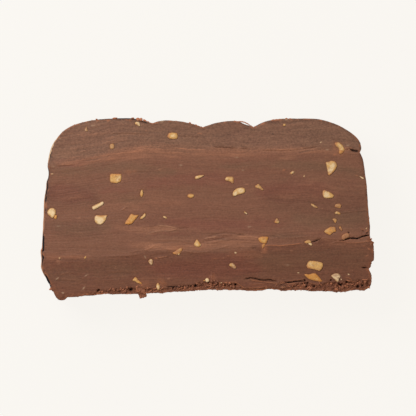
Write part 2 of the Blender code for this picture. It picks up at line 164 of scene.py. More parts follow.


# Lines in the cut face. Rust is a thin fresh edge, and dark is painted shade in a groove.
LINES = [
    # The joints of the poured layers, open at the right end.
    line([(47.6, -11.5), (49.3, -11.3), (50.2, -11), (51.8, -10.6), (53.6, -10.75), (55, -10.5), (56.2, -9.95),
         (57.4, -9.7), (58.4, -9.55)], 0.3, 1.2, dark=1, fade=(2.4, 0.6)),
    line([(37.4, -12.1), (39.4, -11.5), (41, -10.7)], 0.2, 0.7, dark=0.9),
    line([(51.3, 21.5), (52.4, 21), (53.4, 20.8), (54.8, 20.6)], 0.45, 1.2, dark=0.85),
    line([(49.8, 21.2), (51.2, 21.4)], 0.3, 0.3, dark=0.25, rust=0.2),
    line([(48.8, 20), (52, 19.9), (55.2, 19.6)], 0.2, -0.08, pale=0.4),
    line([(55.6, -21.2), (57.6, -21.3)], 0.3, 1.1, dark=0.9),
    line([(45.9, -11.5), (46.5, -11.4)], 0.2, 0.4, dark=0.7),
    line([(45.2, -12.4), (47.8, -11.8), (51.4, -12.3), (56.8, -11.9), (59.4, -11.7)], 0.18, -0.08, rust=0.35,
         fade=(2, 1)),
    line([(39.9, -11.3), (42.4, -10.6), (45.3, -11)], 0.16, -0.08, rust=0.25),
    line([(19.9, -13.7), (22, -13.2), (24.2, -13.1), (26, -13.3), (28.4, -13.05), (30.5, -12.9), (32.7, -12.6),
         (34.5, -12.3)], 0.22, -0.1, rust=0.75, fade=(1.5, 1.5)),
    line([(-57, -17.9), (-52, -17.3), (-46, -17.4), (-40, -17.6)], 0.34, -0.02, rust=0.28, fade=(2.5, 4)),
    # The flap along the base, and the orange ridges beside it.
    line([(13.8, -25.4), (15.4, -24.95), (16.9, -25.05), (18.7, -25.5), (20.1, -25.75), (22.6, -25.65), (24.8, -26)],
         0.2, 0.8, dark=0.95, fade=(1, 1.5)),
    line([(28, -26.6), (30.2, -26.5), (32, -26.1), (34.9, -26.1)], 0.24, 0.9, dark=1),
    line([(15.2, -25.5), (18.4, -26.1), (21.5, -26.3)], 0.18, -0.12, rust=0.7),
    line([(28.6, -26.1), (32.6, -25.6), (35.2, -25.2)], 0.16, -0.1, rust=0.4),
    line([(4.6, -26.7), (7.5, -26.5), (10.4, -26.6), (12.2, -27.8), (14, -28.55), (19.7, -28.4), (24.2, -28.1)], 0.2,
         -0.2, rust=0.6, fade=(1, 3)),
    line([(24.5, -28.3), (25.3, -26.9), (26.6, -26.4), (28.4, -27.1), (28.9, -28), (27.7, -28.7)], 0.2, -0.25,
         rust=0.75),
    line([(14.33, -28.67), (17.21, -28.39), (20.45, -28.24), (23.33, -28.39)], 0.24, -0.14, rust=0.8),
    line([(15.41, -27.31), (18.29, -27.09), (21.17, -27.23)], 0.18, -0.1, rust=0.55),
    line([(25.85, -27.95), (27.29, -27.16), (28.73, -27.31)], 0.2, 0.3, dark=0.5),
    line([(29.45, -28.03), (31.61, -27.67), (33.77, -27.88)], 0.2, -0.12, rust=0.8),
    line([(19.73, -26.3), (23.33, -26.69), (26.21, -26.8), (29.81, -27.09), (34.13, -26.73)], 0.17, -0.08, rust=0.7,
         flake=0.06),
    line([(25.31, -27.38), (25.85, -26.8), (26.86, -26.33), (27.65, -26.73), (28.37, -27.16), (29.09, -27.56)], 0.26,
         -0.15, rust=0.95, flake=0.06),
    line([(26.35, -28.67), (26.71, -28.24), (27.47, -28.03), (28.22, -28.17), (28.8, -28.39)], 0.38, -0.22, rust=0.95,
         flake=0.24),
    line([(27.83, -28.75), (28.55, -28.53), (29.81, -28.53)], 0.24, -0.12, rust=0.8, flake=0.12),
    line([(30.17, -28.53), (32.33, -28.31), (34.49, -28.67)], 0.18, -0.1, rust=0.6, flake=0.1),
    line([(25.85, -28.17), (27.65, -27.81), (29.09, -28.17)], 0.16, 0.2, dark=0.4),
    line([(35.6, -26.6), (38.4, -27), (41.2, -27.3)], 0.22, -0.1, rust=0.5),
    line([(-17.53, -25.72), (-16.45, -26.59), (-15.37, -27.59)], 0.17, -0.12, rust=0.6),
    line([(-15.91, -25.87), (-15.05, -26.8), (-14.26, -27.81)], 0.15, -0.1, rust=0.5),
    line([(1.58, -25.29), (1.8, -24.35), (1.87, -23.42)], 0.16, -0.08, rust=0.45),
    line([(0.29, -25.43), (1.37, -24.28)], 0.14, -0.06, rust=0.35),
    line([(-14.62, -28.13), (-11.23, -28.03), (-7.63, -27.88), (-4.75, -27.56)], 0.24, 0.5, dark=0.75),
    line([(49.4, -24.7), (51.6, -25.2), (52.4, -26.6)], 0.2, -0.15, rust=0.5),
    # Hairlines along the knife's drag.
    line([(2.6, 22.2), (6, 22), (10.2, 21.7)], 0.14, 0.25, dark=0.28, rust=0.12),
    line([(2.4, 21.8), (6, 21.6), (10.4, 21.3)], 0.14, -0.04, pale=0.4),
    line([(11.8, 21.5), (14.7, 21.5)], 0.12, 0.12, dark=0.18),
    line([(19.7, 20.9), (27, 20.9), (33, 21.2)], 0.12, 0.1, dark=0.15, fade=(3, 3)),
    line([(34.4, 21.6), (37, 21.8), (39.3, 22.2)], 0.13, 0.15, dark=0.22),
    line([(-34.2, 27.3), (-27.4, 27.4), (-20.6, 27.1)], 0.14, -0.04, pale=0.4, fade=(3, 3)),
    line([(-34, 26.9), (-27, 26.9), (-21, 26.6)], 0.11, 0.08, dark=0.12, fade=(3, 3)),
    line([(-11.2, 26), (-6.5, 25.9), (-2.6, 25.6)], 0.12, 0.08, dark=0.12),
    line([(15.9, -14.3), (17.4, -14.2)], 0.2, 0.2, dark=0.35),
    line([(-54, 15.2), (-50, 15.4), (-47, 15.7)], 0.2, 0.12, dark=0.2, fade=(1.5, 2.5)),
    line([(-25.2, 32), (-23.2, 31.25), (-20.9, 30.7)], 0.2, 0.5, dark=0.85),
    # Lips where smeared gianduja ends.
    line([(-24.19, -6.5), (-21.31, -6.21), (-18.43, -5.99)], 0.17, -0.05, pale=0.45, fade=(2, 1)),
    line([(-18.07, -5.99), (-15.19, -6.21), (-12.67, -6.64), (-10.94, -7.07)], 0.27, -0.12, pale=1, flake=0.1),
    line([(-20.59, -8.66), (-17.71, -8.15), (-15.19, -8.08), (-13.21, -7.9), (-11.09, -7.36)], 0.26, -0.1, pale=1,
         flake=0.06),
    line([(-17.71, -7.07), (-14.83, -7.15), (-11.95, -7.29)], 0.15, -0.05, pale=0.5, fade=(2, 1)),
    line([(-27.43, -8.08), (-24.55, -7.87), (-21.67, -8.01)], 0.15, -0.05, pale=0.4, fade=(2, 2)),
    line([(-10.51, -7.15), (-8.71, -7), (-6.91, -7)], 0.13, 0.1, dark=0.25),
    line([(-21.31, -11.11), (-17.71, -11.25), (-13.39, -11.18), (-8.35, -11.54)], 0.15, -0.05, pale=0.4, fade=(2, 2)),
    line([(-23.47, -15.07), (-20.95, -14.35), (-18.79, -13.12)], 0.24, -0.06, pale=0.8, rust=0.2, fade=(1.5, 1)),
    line([(-16.99, -13.91), (-14.83, -14.35), (-13.03, -14.99)], 0.16, -0.05, pale=0.55),
    line([(-27.79, -15.71), (-25.63, -15.21), (-23.83, -15.14)], 0.16, -0.05, pale=0.4),
    line([(-18.07, -17.8), (-15.91, -17.44), (-13.97, -17.08)], 0.17, -0.1, pale=0.7, rust=0.3),
    line([(-1.51, -10.82), (1.01, -10.46), (3.53, -9.95)], 0.27, -0.1, pale=1, flake=0.12),
    line([(-1.15, -11.83), (1.37, -11.47), (3.89, -11), (6.77, -10.39)], 0.14, 0.07, dark=0.18),
    line([(-0.07, -12.44), (2.81, -12.04), (6.05, -11.39), (9.29, -10.82)], 0.16, -0.06, pale=0.6, fade=(2, 2)),
    line([(0.65, -9.95), (3.17, -9.2), (6.05, -8.73), (8.93, -8.87), (10.51, -9.09)], 0.13, 0.06, dark=0.17),
    line([(10.8, -9.23), (11.81, -9.34), (13.03, -9.52)], 0.2, 0.2, dark=0.5),
    line([(4.25, -9.67), (6.77, -9.34), (9.29, -9.52)], 0.15, -0.05, pale=0.4, fade=(1.5, 1.5)),
    line([(10.37, -9.95), (13.97, -10.17), (16.85, -10.24), (18.86, -10.53)], 0.24, -0.08, pale=1),
    line([(10.73, -11.03), (14.33, -10.96), (18.5, -11.25)], 0.16, -0.06, pale=0.6, fade=(2, 1)),
    line([(10.37, -11.75), (13.97, -11.9), (17.57, -12.33)], 0.14, -0.05, pale=0.4, fade=(2, 2)),
    line([(-1.51, -14.35), (1.73, -14.56), (4.97, -14.13), (8.21, -13.12)], 0.18, -0.07, pale=0.6, fade=(2, 2)),
    line([(-8.35, -15.28), (-5.47, -15.64), (-2.23, -15.71), (1.37, -15.35)], 0.16, -0.06, pale=0.55, fade=(2, 2)),
    line([(-8.35, -12.47), (-6.19, -12.76), (-4.75, -12.91)], 0.14, 0.1, dark=0.25),
    line([(11.81, -17.44), (14.69, -17.15), (17.93, -17.01)], 0.17, -0.06, pale=0.45, fade=(2, 2)),
    line([(12.2, -17.4), (15.4, -17), (19.4, -17.4)], 0.2, -0.06, pale=0.5, fade=(2, 1)),
    line([(13.6, -19), (16, -19.5), (18, -20.2)], 0.18, -0.05, pale=0.4, fade=(1.5, 1.5)),
    line([(22.8, -11), (26, -10.4), (30.4, -10.6), (33.8, -10.1), (38, -10)], 0.16, -0.07, pale=0.5, fade=(2, 3)),
    line([(-54, -16.8), (-47, -16.7), (-40.4, -17)], 0.2, -0.03, pale=0.35, fade=(3, 3)),
    line([(-38, -17.2), (-30, -17), (-24.8, -16.4)], 0.15, -0.06, pale=0.28, fade=(3, 3)),
    line([(47.5, -1.6), (52, -1), (57, -0.5)], 0.15, -0.05, pale=0.3),
    line([(-31.03, -0.67), (-30.13, -0.09), (-29.16, 0.56)], 0.24, -0.08, pale=1),
    line([(52.9, 12.3), (54, 11.9), (54.8, 11.55)], 0.3, -0.05, pale=0.7, rust=0.3),
]

# Ribbons of each mark: strength, softness of the edge, and stations of (x, y, half width).
RIBBONS = {
    "warm": [
        (0.55, 0.9, [(-56, 15.6, 0.8), (-49, 16.4, 1.2), (-42, 17.6, 1.6), (-31, 19.8, 3), (-20, 21.2, 3.4),
         (-3, 20.2, 3), (12, 20, 2.8), (28, 20.6, 2.5), (40, 21, 1.8), (50, 18.9, 0.9)]),
        (0.6, 0.7, [(-54, 16.6, 0.3), (-49, 16.2, 0.6), (-45, 15.8, 0.8), (-40, 17.2, 1), (-34, 18.6, 1.1),
         (-28, 19.2, 0.7)]),
        (0.5, 0.7, [(-30, -12.7, 0.8), (-22, -13.8, 1.6), (-12, -13.6, 2.2), (0, -13, 2.5), (12, -12, 2.3),
         (18, -12.2, 1.6), (22, -12.6, 0.5)]),
        (0.12, 0.9, [(12, -27.2, 1), (16, -27.2, 1.9), (24, -27.2, 1.6), (34, -27.6, 1.2), (37, -27.6, 0.8)]),
        (0.45, 1, [(40, -11.6, 0.6), (46, -12.6, 1.6), (54, -12.3, 1.7), (60, -12.2, 1.4)]),
        (0.3, 1, [(-44, 1, 2), (-30, 1.5, 4), (-18, 3, 5), (-6, 2, 3)]),
        (0.32, 1, [(22, 5, 2), (32, 5, 4), (44, 6, 4), (50, 6, 2)]),
        (0.3, 1, [(-58, 6, 2), (-50, 5, 4), (-42, 3, 3)]),
    ],
    "pale": [
        (0.42, 0.9, [(-36, -6.4, 0.6), (-29, -7.4, 1.4), (-21, -8, 1.9), (-15, -7.1, 1.1), (-10, -7, 0.3)]),
        (0.32, 0.6, [(-26, -12.4, 0.4), (-18, -13.5, 1), (-9, -14.6, 1.3), (2, -13.8, 1.4), (10, -12.9, 1.2),
         (17, -12.5, 1), (21, -12.6, 0.4)]),
        (0.22, 0.5, [(6, -10.2, 0.4), (12, -9.8, 0.8), (20, -10, 0.9), (30, -9.5, 0.8), (42, -8.6, 0.5)]),
        (0.22, 0.8, [(-38, 14.8, 0.4), (-32, 17.4, 0.9), (-24, 19.4, 1), (-14, 20.2, 0.6)]),
        (0.22, 0.8, [(-54, 26.8, 0.4), (-42, 27, 0.7), (-30, 27.2, 0.6), (-18, 26.4, 0.5)]),
    ],
    "olive": [
        (0.9, 1, [(-58, 13, 2), (-50, 13.2, 3), (-40, 14.5, 4), (-28, 14.8, 4.2), (-16, 13.6, 3), (-8, 13, 1)]),
        (1, 1, [(2, 15.6, 1), (12, 15.6, 2.4), (24, 16, 3), (40, 15.4, 3.4), (54, 13, 3), (58, 12, 1.5)]),
        (0.8, 1, [(-58, -6, 3), (-50, -7, 5), (-40, -7, 5), (-32, -6, 2)]),
        (0.9, 1, [(28, -2, 2), (36, -4.5, 4), (46, -5, 5), (54, -3, 6), (60, 0, 7)]),
        (0.6, 1, [(-34, 3.5, 2), (-28, 3, 4), (-20, 3, 3)]),
        (0.8, 1, [(-60, -24, 6), (-48, -23, 6.5), (-34, -22.5, 6), (-22, -22, 3)]),
        (0.85, 0.9, [(16, -18, 2), (24, -19, 5), (36, -18.5, 6.5), (48, -18, 6.5), (60, -18, 6)]),
    ],
    "red": [
        (0.9, 1, [(-60, 6, 4), (-54, 5.5, 5), (-46, 4.5, 5), (-38, 4, 2.5)]),
        (0.9, 1, [(-26, 8, 2), (-18, 9, 4), (-8, 10.5, 4.5), (4, 10.8, 4), (14, 10, 2)]),
        (1, 1, [(16, 6, 3), (26, 6.5, 6), (36, 6.5, 6.5), (46, 6, 4)]),
        (0.9, 1, [(-18, -4, 1.5), (-8, -5.5, 3.5), (4, -6, 4), (18, -5.8, 4), (30, -5.5, 2.5)]),
        (0.6, 1, [(-42, 5, 1.5), (-34, 7, 2), (-26, 6, 1.5)]),
        (1, 1, [(-24, -20, 3), (-14, -21.5, 6), (0, -21.5, 7), (12, -21.5, 6), (22, -22, 3)]),
        (0.7, 1, [(-58, 17, 1.5), (-50, 17.2, 2.5), (-42, 18, 1.5)]),
    ],
    "deep": [
        (1, 1, [(-60, 4, 3), (-54, 5, 7), (-42, 4, 7), (-36, 3, 3)]),
        (0.6, 1, [(-60, -7, 3), (-48, -8, 7), (-36, -8, 3)]),
        (0.9, 1, [(18, 5, 3), (28, 5, 8), (42, 2, 9), (60, 0, 10)]),
        (0.85, 0.8, [(20, -10, 0.8), (28, -9.8, 1.8), (38, -9.4, 1.2)]),
        (0.9, 0.8, [(10, -27.2, 0.8), (16, -27.3, 1.6), (28, -27.2, 1.4)]),
    ],
}
# Soft patches of each mark: x, y, half length, half width, turn and strength.
SMUDGES = {
    "pale": [
        (-33.19, 24.75, 5.04, 1.8, 5, 0.25), (-46.51, 21.87, 7.92, 3.24, 25, 0.14),
        (-20.59, 23.67, 6.48, 1.44, 2, 0.12), (-15.91, -7.11, 5.4, 1.01, -1, 0.5), (-23.47, -7.29, 4.32, 1.44, 0, 0.2),
        (-20.23, -13.77, 2.88, 1.44, 5, 0.15), (-15.19, -13.05, 8.64, 2.16, 0, 0.12),
        (-0.43, -12.69, 5.4, 0.79, 5, 0.35), (8.93, -12.33, 5.04, 1.08, 10, 0.2), (15.05, -10.35, 5.04, 0.86, -3, 0.35),
        (29.09, 18.27, 3.6, 0.72, 2, 0.4), (37.01, 9.63, 4.32, 0.9, 8, 0.25), (29.81, 21.15, 8.64, 1.26, 0, 0.15),
        (-53.71, -19.17, 0.72, 0.86, 0, 0.5), (-7.99, -11.07, 10.8, 0.65, 2, 0.25),
    ],
    "warm": [
        (-43.99, 17.55, 10.08, 1.8, 8, 0.3), (-27.79, 20.07, 10.8, 2.16, 3, 0.25), (-6.19, 19.71, 17.28, 1.8, 0, 0.18),
        (13.61, 19.71, 7.92, 1.44, 0, 0.25), (32.69, 21.15, 9.36, 1.8, 1, 0.22), (-28.51, 19.17, 9.36, 1.62, 4, 0.28),
        (-14.83, 21.51, 6.48, 1.44, 3, 0.2), (13.25, 21.33, 14.4, 1.26, 0, 0.16),
    ],
    "burr": [
        (42.41, 20.79, 5.04, 1.44, 0, 0.12), (13.61, -15.93, 7.2, 2.16, -8, 0.12),
        (47.45, 21.51, 3.24, 2.16, -45, 0.28), (-32.11, 11.79, 3.6, 2.88, 0, 0.08), (-3.31, -13.77, 2.16, 1.44, 0, 0.2),
        (-10.87, -14.49, 3.24, 1.8, 10, 0.2), (20.45, -14.13, 2.16, 1.26, -80, 0.4), (49.61, -9.81, 2.52, 1.8, 10, 0.2),
        (-28.15, 13.23, 1.26, 0.9, 0, 0.28), (-26.17, 13.59, 0.9, 0.72, 0, 0.22), (50.69, 21.51, 1.8, 0.9, 0, 0.28),
        (55.37, 20.79, 1.08, 0.72, 20, 0.25), (10.55, 31.59, 1.3, 0.54, -5, 0.95), (24.77, 32.17, 1.66, 0.4, -5, 0.8),
        (29.99, 32.38, 0.72, 0.36, 0, 0.8), (18.83, 30.51, 1.08, 0.43, 35, 0.5), (-55.87, -17.37, 3.24, 1.08, 0, 0.18),
        (-48.31, -17.37, 4.32, 0.58, 0, 0.22), (-22.75, -27.45, 2.52, 2.16, 0, 0.2),
        (-16.27, -26.73, 2.16, 1.44, -45, 0.25), (2.09, -24.57, 1.08, 1.44, 0, 0.25),
        (18.29, -27.09, 5.76, 1.26, 0, 0.1), (46.37, -11.25, 8.64, 0.86, -3, 0.12),
    ],
    "red": [
        (-52.27, 6.03, 5.04, 2.88, 0, 0.6), (6.41, -17.73, 9, 2.16, 0, 0.5), (24.23, 31.37, 1.8, 0.43, -8, 1),
        (-42.19, -22.77, 10.8, 3.6, 0, 0.4), (38.81, -17.73, 14.4, 2.88, 0, 0.2), (18.29, -27.09, 6.48, 1.44, 0, 0.9),
        (-46.51, 15.93, 5.04, 1.08, 8, 0.8), (-14.83, -9.09, 7.92, 0.79, 0, 0.7), (2.81, -10.53, 7.2, 0.72, 6, 0.6),
        (39.89, -9.09, 5.04, 1.08, 0, 0.6),
    ],
    "deep": [
        (24.23, 31.27, 1.98, 0.47, -8, 1), (-56.59, 4.59, 1.8, 4.32, 0, 0.4),
    ],
    "flake": [
        (-16.63, 31.77, 1.44, 0.43, 5, 0.6), (28.55, 32.38, 0.58, 0.36, 0, 0.6),
    ],
    "olive": [
        (28.37, -9.81, 7.2, 0.72, 0, 0.8),
    ],
}
# Dabs in it, where meal of nut or a fresh crumb is smeared, a dark one being painted shade: x, y, length, width, turn,
# tone and strength.
DABS = [
    (-41.11, 29.9, 1.98, 0.79, 8, "flake", 0.3), (15.23, -6.5, 1.44, 0.86, 5, "flake", 0.25),
    (43.24, 21.26, 1.15, 0.86, 0, "flake", 0.3), (-53.06, 25.18, 0.72, 0.65, 0, "flake", 0.35),
    (10.73, 18.41, 0.94, 0.72, 0, "flake", 0.25), (27.65, 13.95, 1.15, 0.94, 20, "rust", 0.5),
    (42.62, 18.56, 0.86, 0.58, 0, "pale", 0.8), (-44.46, -28.6, 1.37, 0.72, 50, "flake", 0.45),
    (-51.91, -30.33, 0.94, 0.79, 0, "flake", 0.5), (-43.63, -24.07, 0.86, 0.65, 30, "flake", 0.35),
    (-22.32, -17.37, 1.15, 0.65, -60, "flake", 0.3), (-18.29, -17.8, 0.86, 0.58, 0, "rust", 0.95),
    (31.25, -10.28, 0.86, 0.65, 0, "pale", 0.8), (30.38, -15.1, 1.44, 0.72, 0, "pale", 0.5),
    (28.98, -20.32, 1.15, 1.01, 0, "flake", 0.15), (-53.96, -25.15, 1.44, 0.65, 35, "flake", 0.4),
    (-53.68, -6.32, 0.79, 0.72, 0, "flake", 0.25), (19.37, -17.37, 1.8, 0.72, 5, "pale", 0.6),
    (50.69, 22.81, 1.01, 0.79, 0, "flake", 0.3), (45.9, 19.49, 1.22, 1.01, 0, "rust", 0.5),
    (5.87, -17.73, 0.86, 0.58, 0, "pale", 0.5), (-55.33, 15.17, 0.94, 0.72, 0, "flake", 0.25),
    (-9.43, 15.68, 1.01, 0.86, 0, "flake", 0.3), (12.82, 13.91, 0.86, 0.72, 0, "flake", 0.3),
    (-2.81, 27.13, 0.65, 0.58, 0, "rust", 0.6), (14.51, 8.84, 0.58, 0.5, 0, "pale", 0.8),
    (-16.99, 14.17, 1.44, 0.86, 10, "pale", 0.45), (-13.9, -25.15, 1.22, 0.94, 0, "pale", 0.5),
    (-45.94, -3.33, 0.72, 0.58, 0, "pale", 0.6), (-40.28, -9.2, 0.72, 0.58, 0, "pale", 0.4),
    (23.62, 26.91, 0.65, 0.5, 0, "dark", 0.7), (-22.03, 27.99, 1.26, 0.72, 0, "pale", 0.5),
    (20.45, -13.23, 1.08, 0.72, -60, "rust", 0.9), (20.63, -14.49, 0.94, 0.65, -60, "rust", 0.8),
    (29.92, 12.65, 0.94, 0.65, 40, "pale", 0.8), (-39.67, -30.33, 0.86, 0.5, 0, "rust", 0.9),
    (-52.13, -23.49, 0.72, 0.5, 20, "pale", 0.5), (-32.83, -21.55, 0.86, 0.65, 0, "pale", 0.35),
    (-37.33, 24.21, 1.8, 0.94, 0, "pale", 0.4), (2.81, -17.91, 0.72, 0.58, 0, "rust", 0.4),
    (7.49, -17.01, 0.72, 0.5, 0, "rust", 0.35), (57.46, -8.08, 0.79, 0.5, 30, "rust", 0.8),
    (55.91, -7.47, 0.79, 0.5, -30, "rust", 0.7), (57.35, -11.61, 1.08, 0.58, 20, "rust", 0.6),
    (58.25, -14.49, 1.08, 0.65, -40, "rust", 0.7), (56.45, -13.41, 0.72, 0.5, 0, "rust", 0.5),
    (58.97, -12.69, 0.86, 0.5, 60, "rust", 0.7), (57.53, -17.01, 0.86, 0.58, 30, "rust", 0.6),
    (55.37, -10.71, 1.44, 0.5, 0, "rust", 0.5),
]
# Height of the lowest joint at stations along the slice.
BASE_JOINT = [
    (-60, -18), (-38, -18), (-30, -16.8), (-20, -15.3), (-10, -15.6), (5, -15.6), (15, -14.6), (19.7, -13.9),
    (24, -13.4), (28.4, -13.2), (32.7, -12.8), (37, -12.3), (41.3, -11.5), (45, -11.6), (60, -12.3),
]
TOP_JOINT = 20.6

# The crumbled base edge: height of its band above the edge at stations along the slice, and its pits.
CRUMBLED_BAND = [
    (-44, 0), (-38, 1.4), (-29, 2.2), (-13, 1.6), (-4, 2.2), (0.6, 3.4), (4, 2.8), (11, 2.2), (13, 0.8), (27, 0.8),
    (33, 2.6), (36, 3), (40, 2.2), (44, 3.6), (52, 3.6), (59, 4),
]
CRUMBLED_DEPTH = 0.5
PITS = [
    (-39.1, -29.5, 0.6), (-27.4, -29.1, 0.8), (-12.2, -28.6, 0.4), (-4.1, -27.7, 0.6), (6.4, -27.6, 0.4),
    (8.6, -27.3, 0.35), (10.2, -27.3, 0.45), (35.2, -25.8, 0.35), (35.6, -27.9, 0.55), (36.3, -26.7, 0.3),
    (38.6, -28, 0.45), (44.6, -25.7, 0.35), (45.1, -27.1, 0.35), (47.4, -25.5, 0.4), (47.8, -27.4, 1),
    (50.3, -26.4, 0.45), (51.1, -27, 0.3), (54.3, -28, 0.65), (55.9, -27.7, 0.45), (56.4, -8, 0.4), (57.7, -8.8, 0.4),
    (11.5, -14.2, 0.35), (50.9, -8.7, 0.3),
]
PIT_DEPTH = 1.5

# ---- Hazelnut: outlines of chopped pieces, in half sizes, and each piece in the cut ----

KERNEL_SHAPES = {
    "oval": [(-1, -0.15), (-0.75, -0.75), (-0.1, -1), (0.6, -0.85), (1, -0.2), (0.85, 0.6), (0.2, 1), (-0.65, 0.8)],
    "block": [(-1, -0.75), (0.55, -1), (0.95, -0.3), (1, 0.4), (0.85, 1), (-0.9, 0.9)],
    "bar": [(-1, -0.4), (-0.75, -1), (0.1, -0.7), (0.9, -0.9), (1, 0.3), (0.8, 1), (0, 0.6), (-0.85, 0.7)],
    "chisel": [(-1, 0.3), (-0.95, -0.3), (-0.45, -1), (0.3, -1), (0.72, -0.3), (1, 0.95), (0, 0.85), (-0.85, 1)],
    "slab": [(-1, -0.7), (-0.2, -1), (0.5, -0.65), (1, 0), (0.8, 0.9), (0.3, 0.65), (-0.6, 0.95)],
    "wedge": [(-1, -0.75), (-0.35, -1), (0.45, -0.4), (1, 0.05), (0.5, 0.45), (-0.4, 1), (-0.95, 0.65)],
    "drop": [(-1, -0.35), (-0.6, -0.65), (0.3, -1), (0.8, -0.9), (1, -0.2), (0.85, 1), (0.6, 0.9), (-0.3, 0.6),
             (-1, 0.35)],
    "diamond": [(-1, -0.1), (-0.2, -0.9), (0.35, -1), (0.9, -0.35), (1, 0.7), (0.7, 1), (-0.15, 0.75)],
    "rhomb": [(-1, 0.1), (-0.38, -0.72), (0.32, -1), (1, -0.17), (0.48, 0.5), (0.05, 1)],
    "brick": [(-1, 0), (-0.8, -0.45), (0.37, -1), (0.85, -0.6), (1, 0.35), (0.6, 0.8), (-0.8, 1)],
    "shard": [(-1, 0.35), (-0.2, -0.45), (0.35, -1), (1, -0.1), (0.7, 0.95), (-0.35, 1)],
    "flag": [(-1, -0.7), (-0.1, -1), (1, -0.8), (0.55, 0.1), (0.1, 1), (-0.35, 0.1)],
}
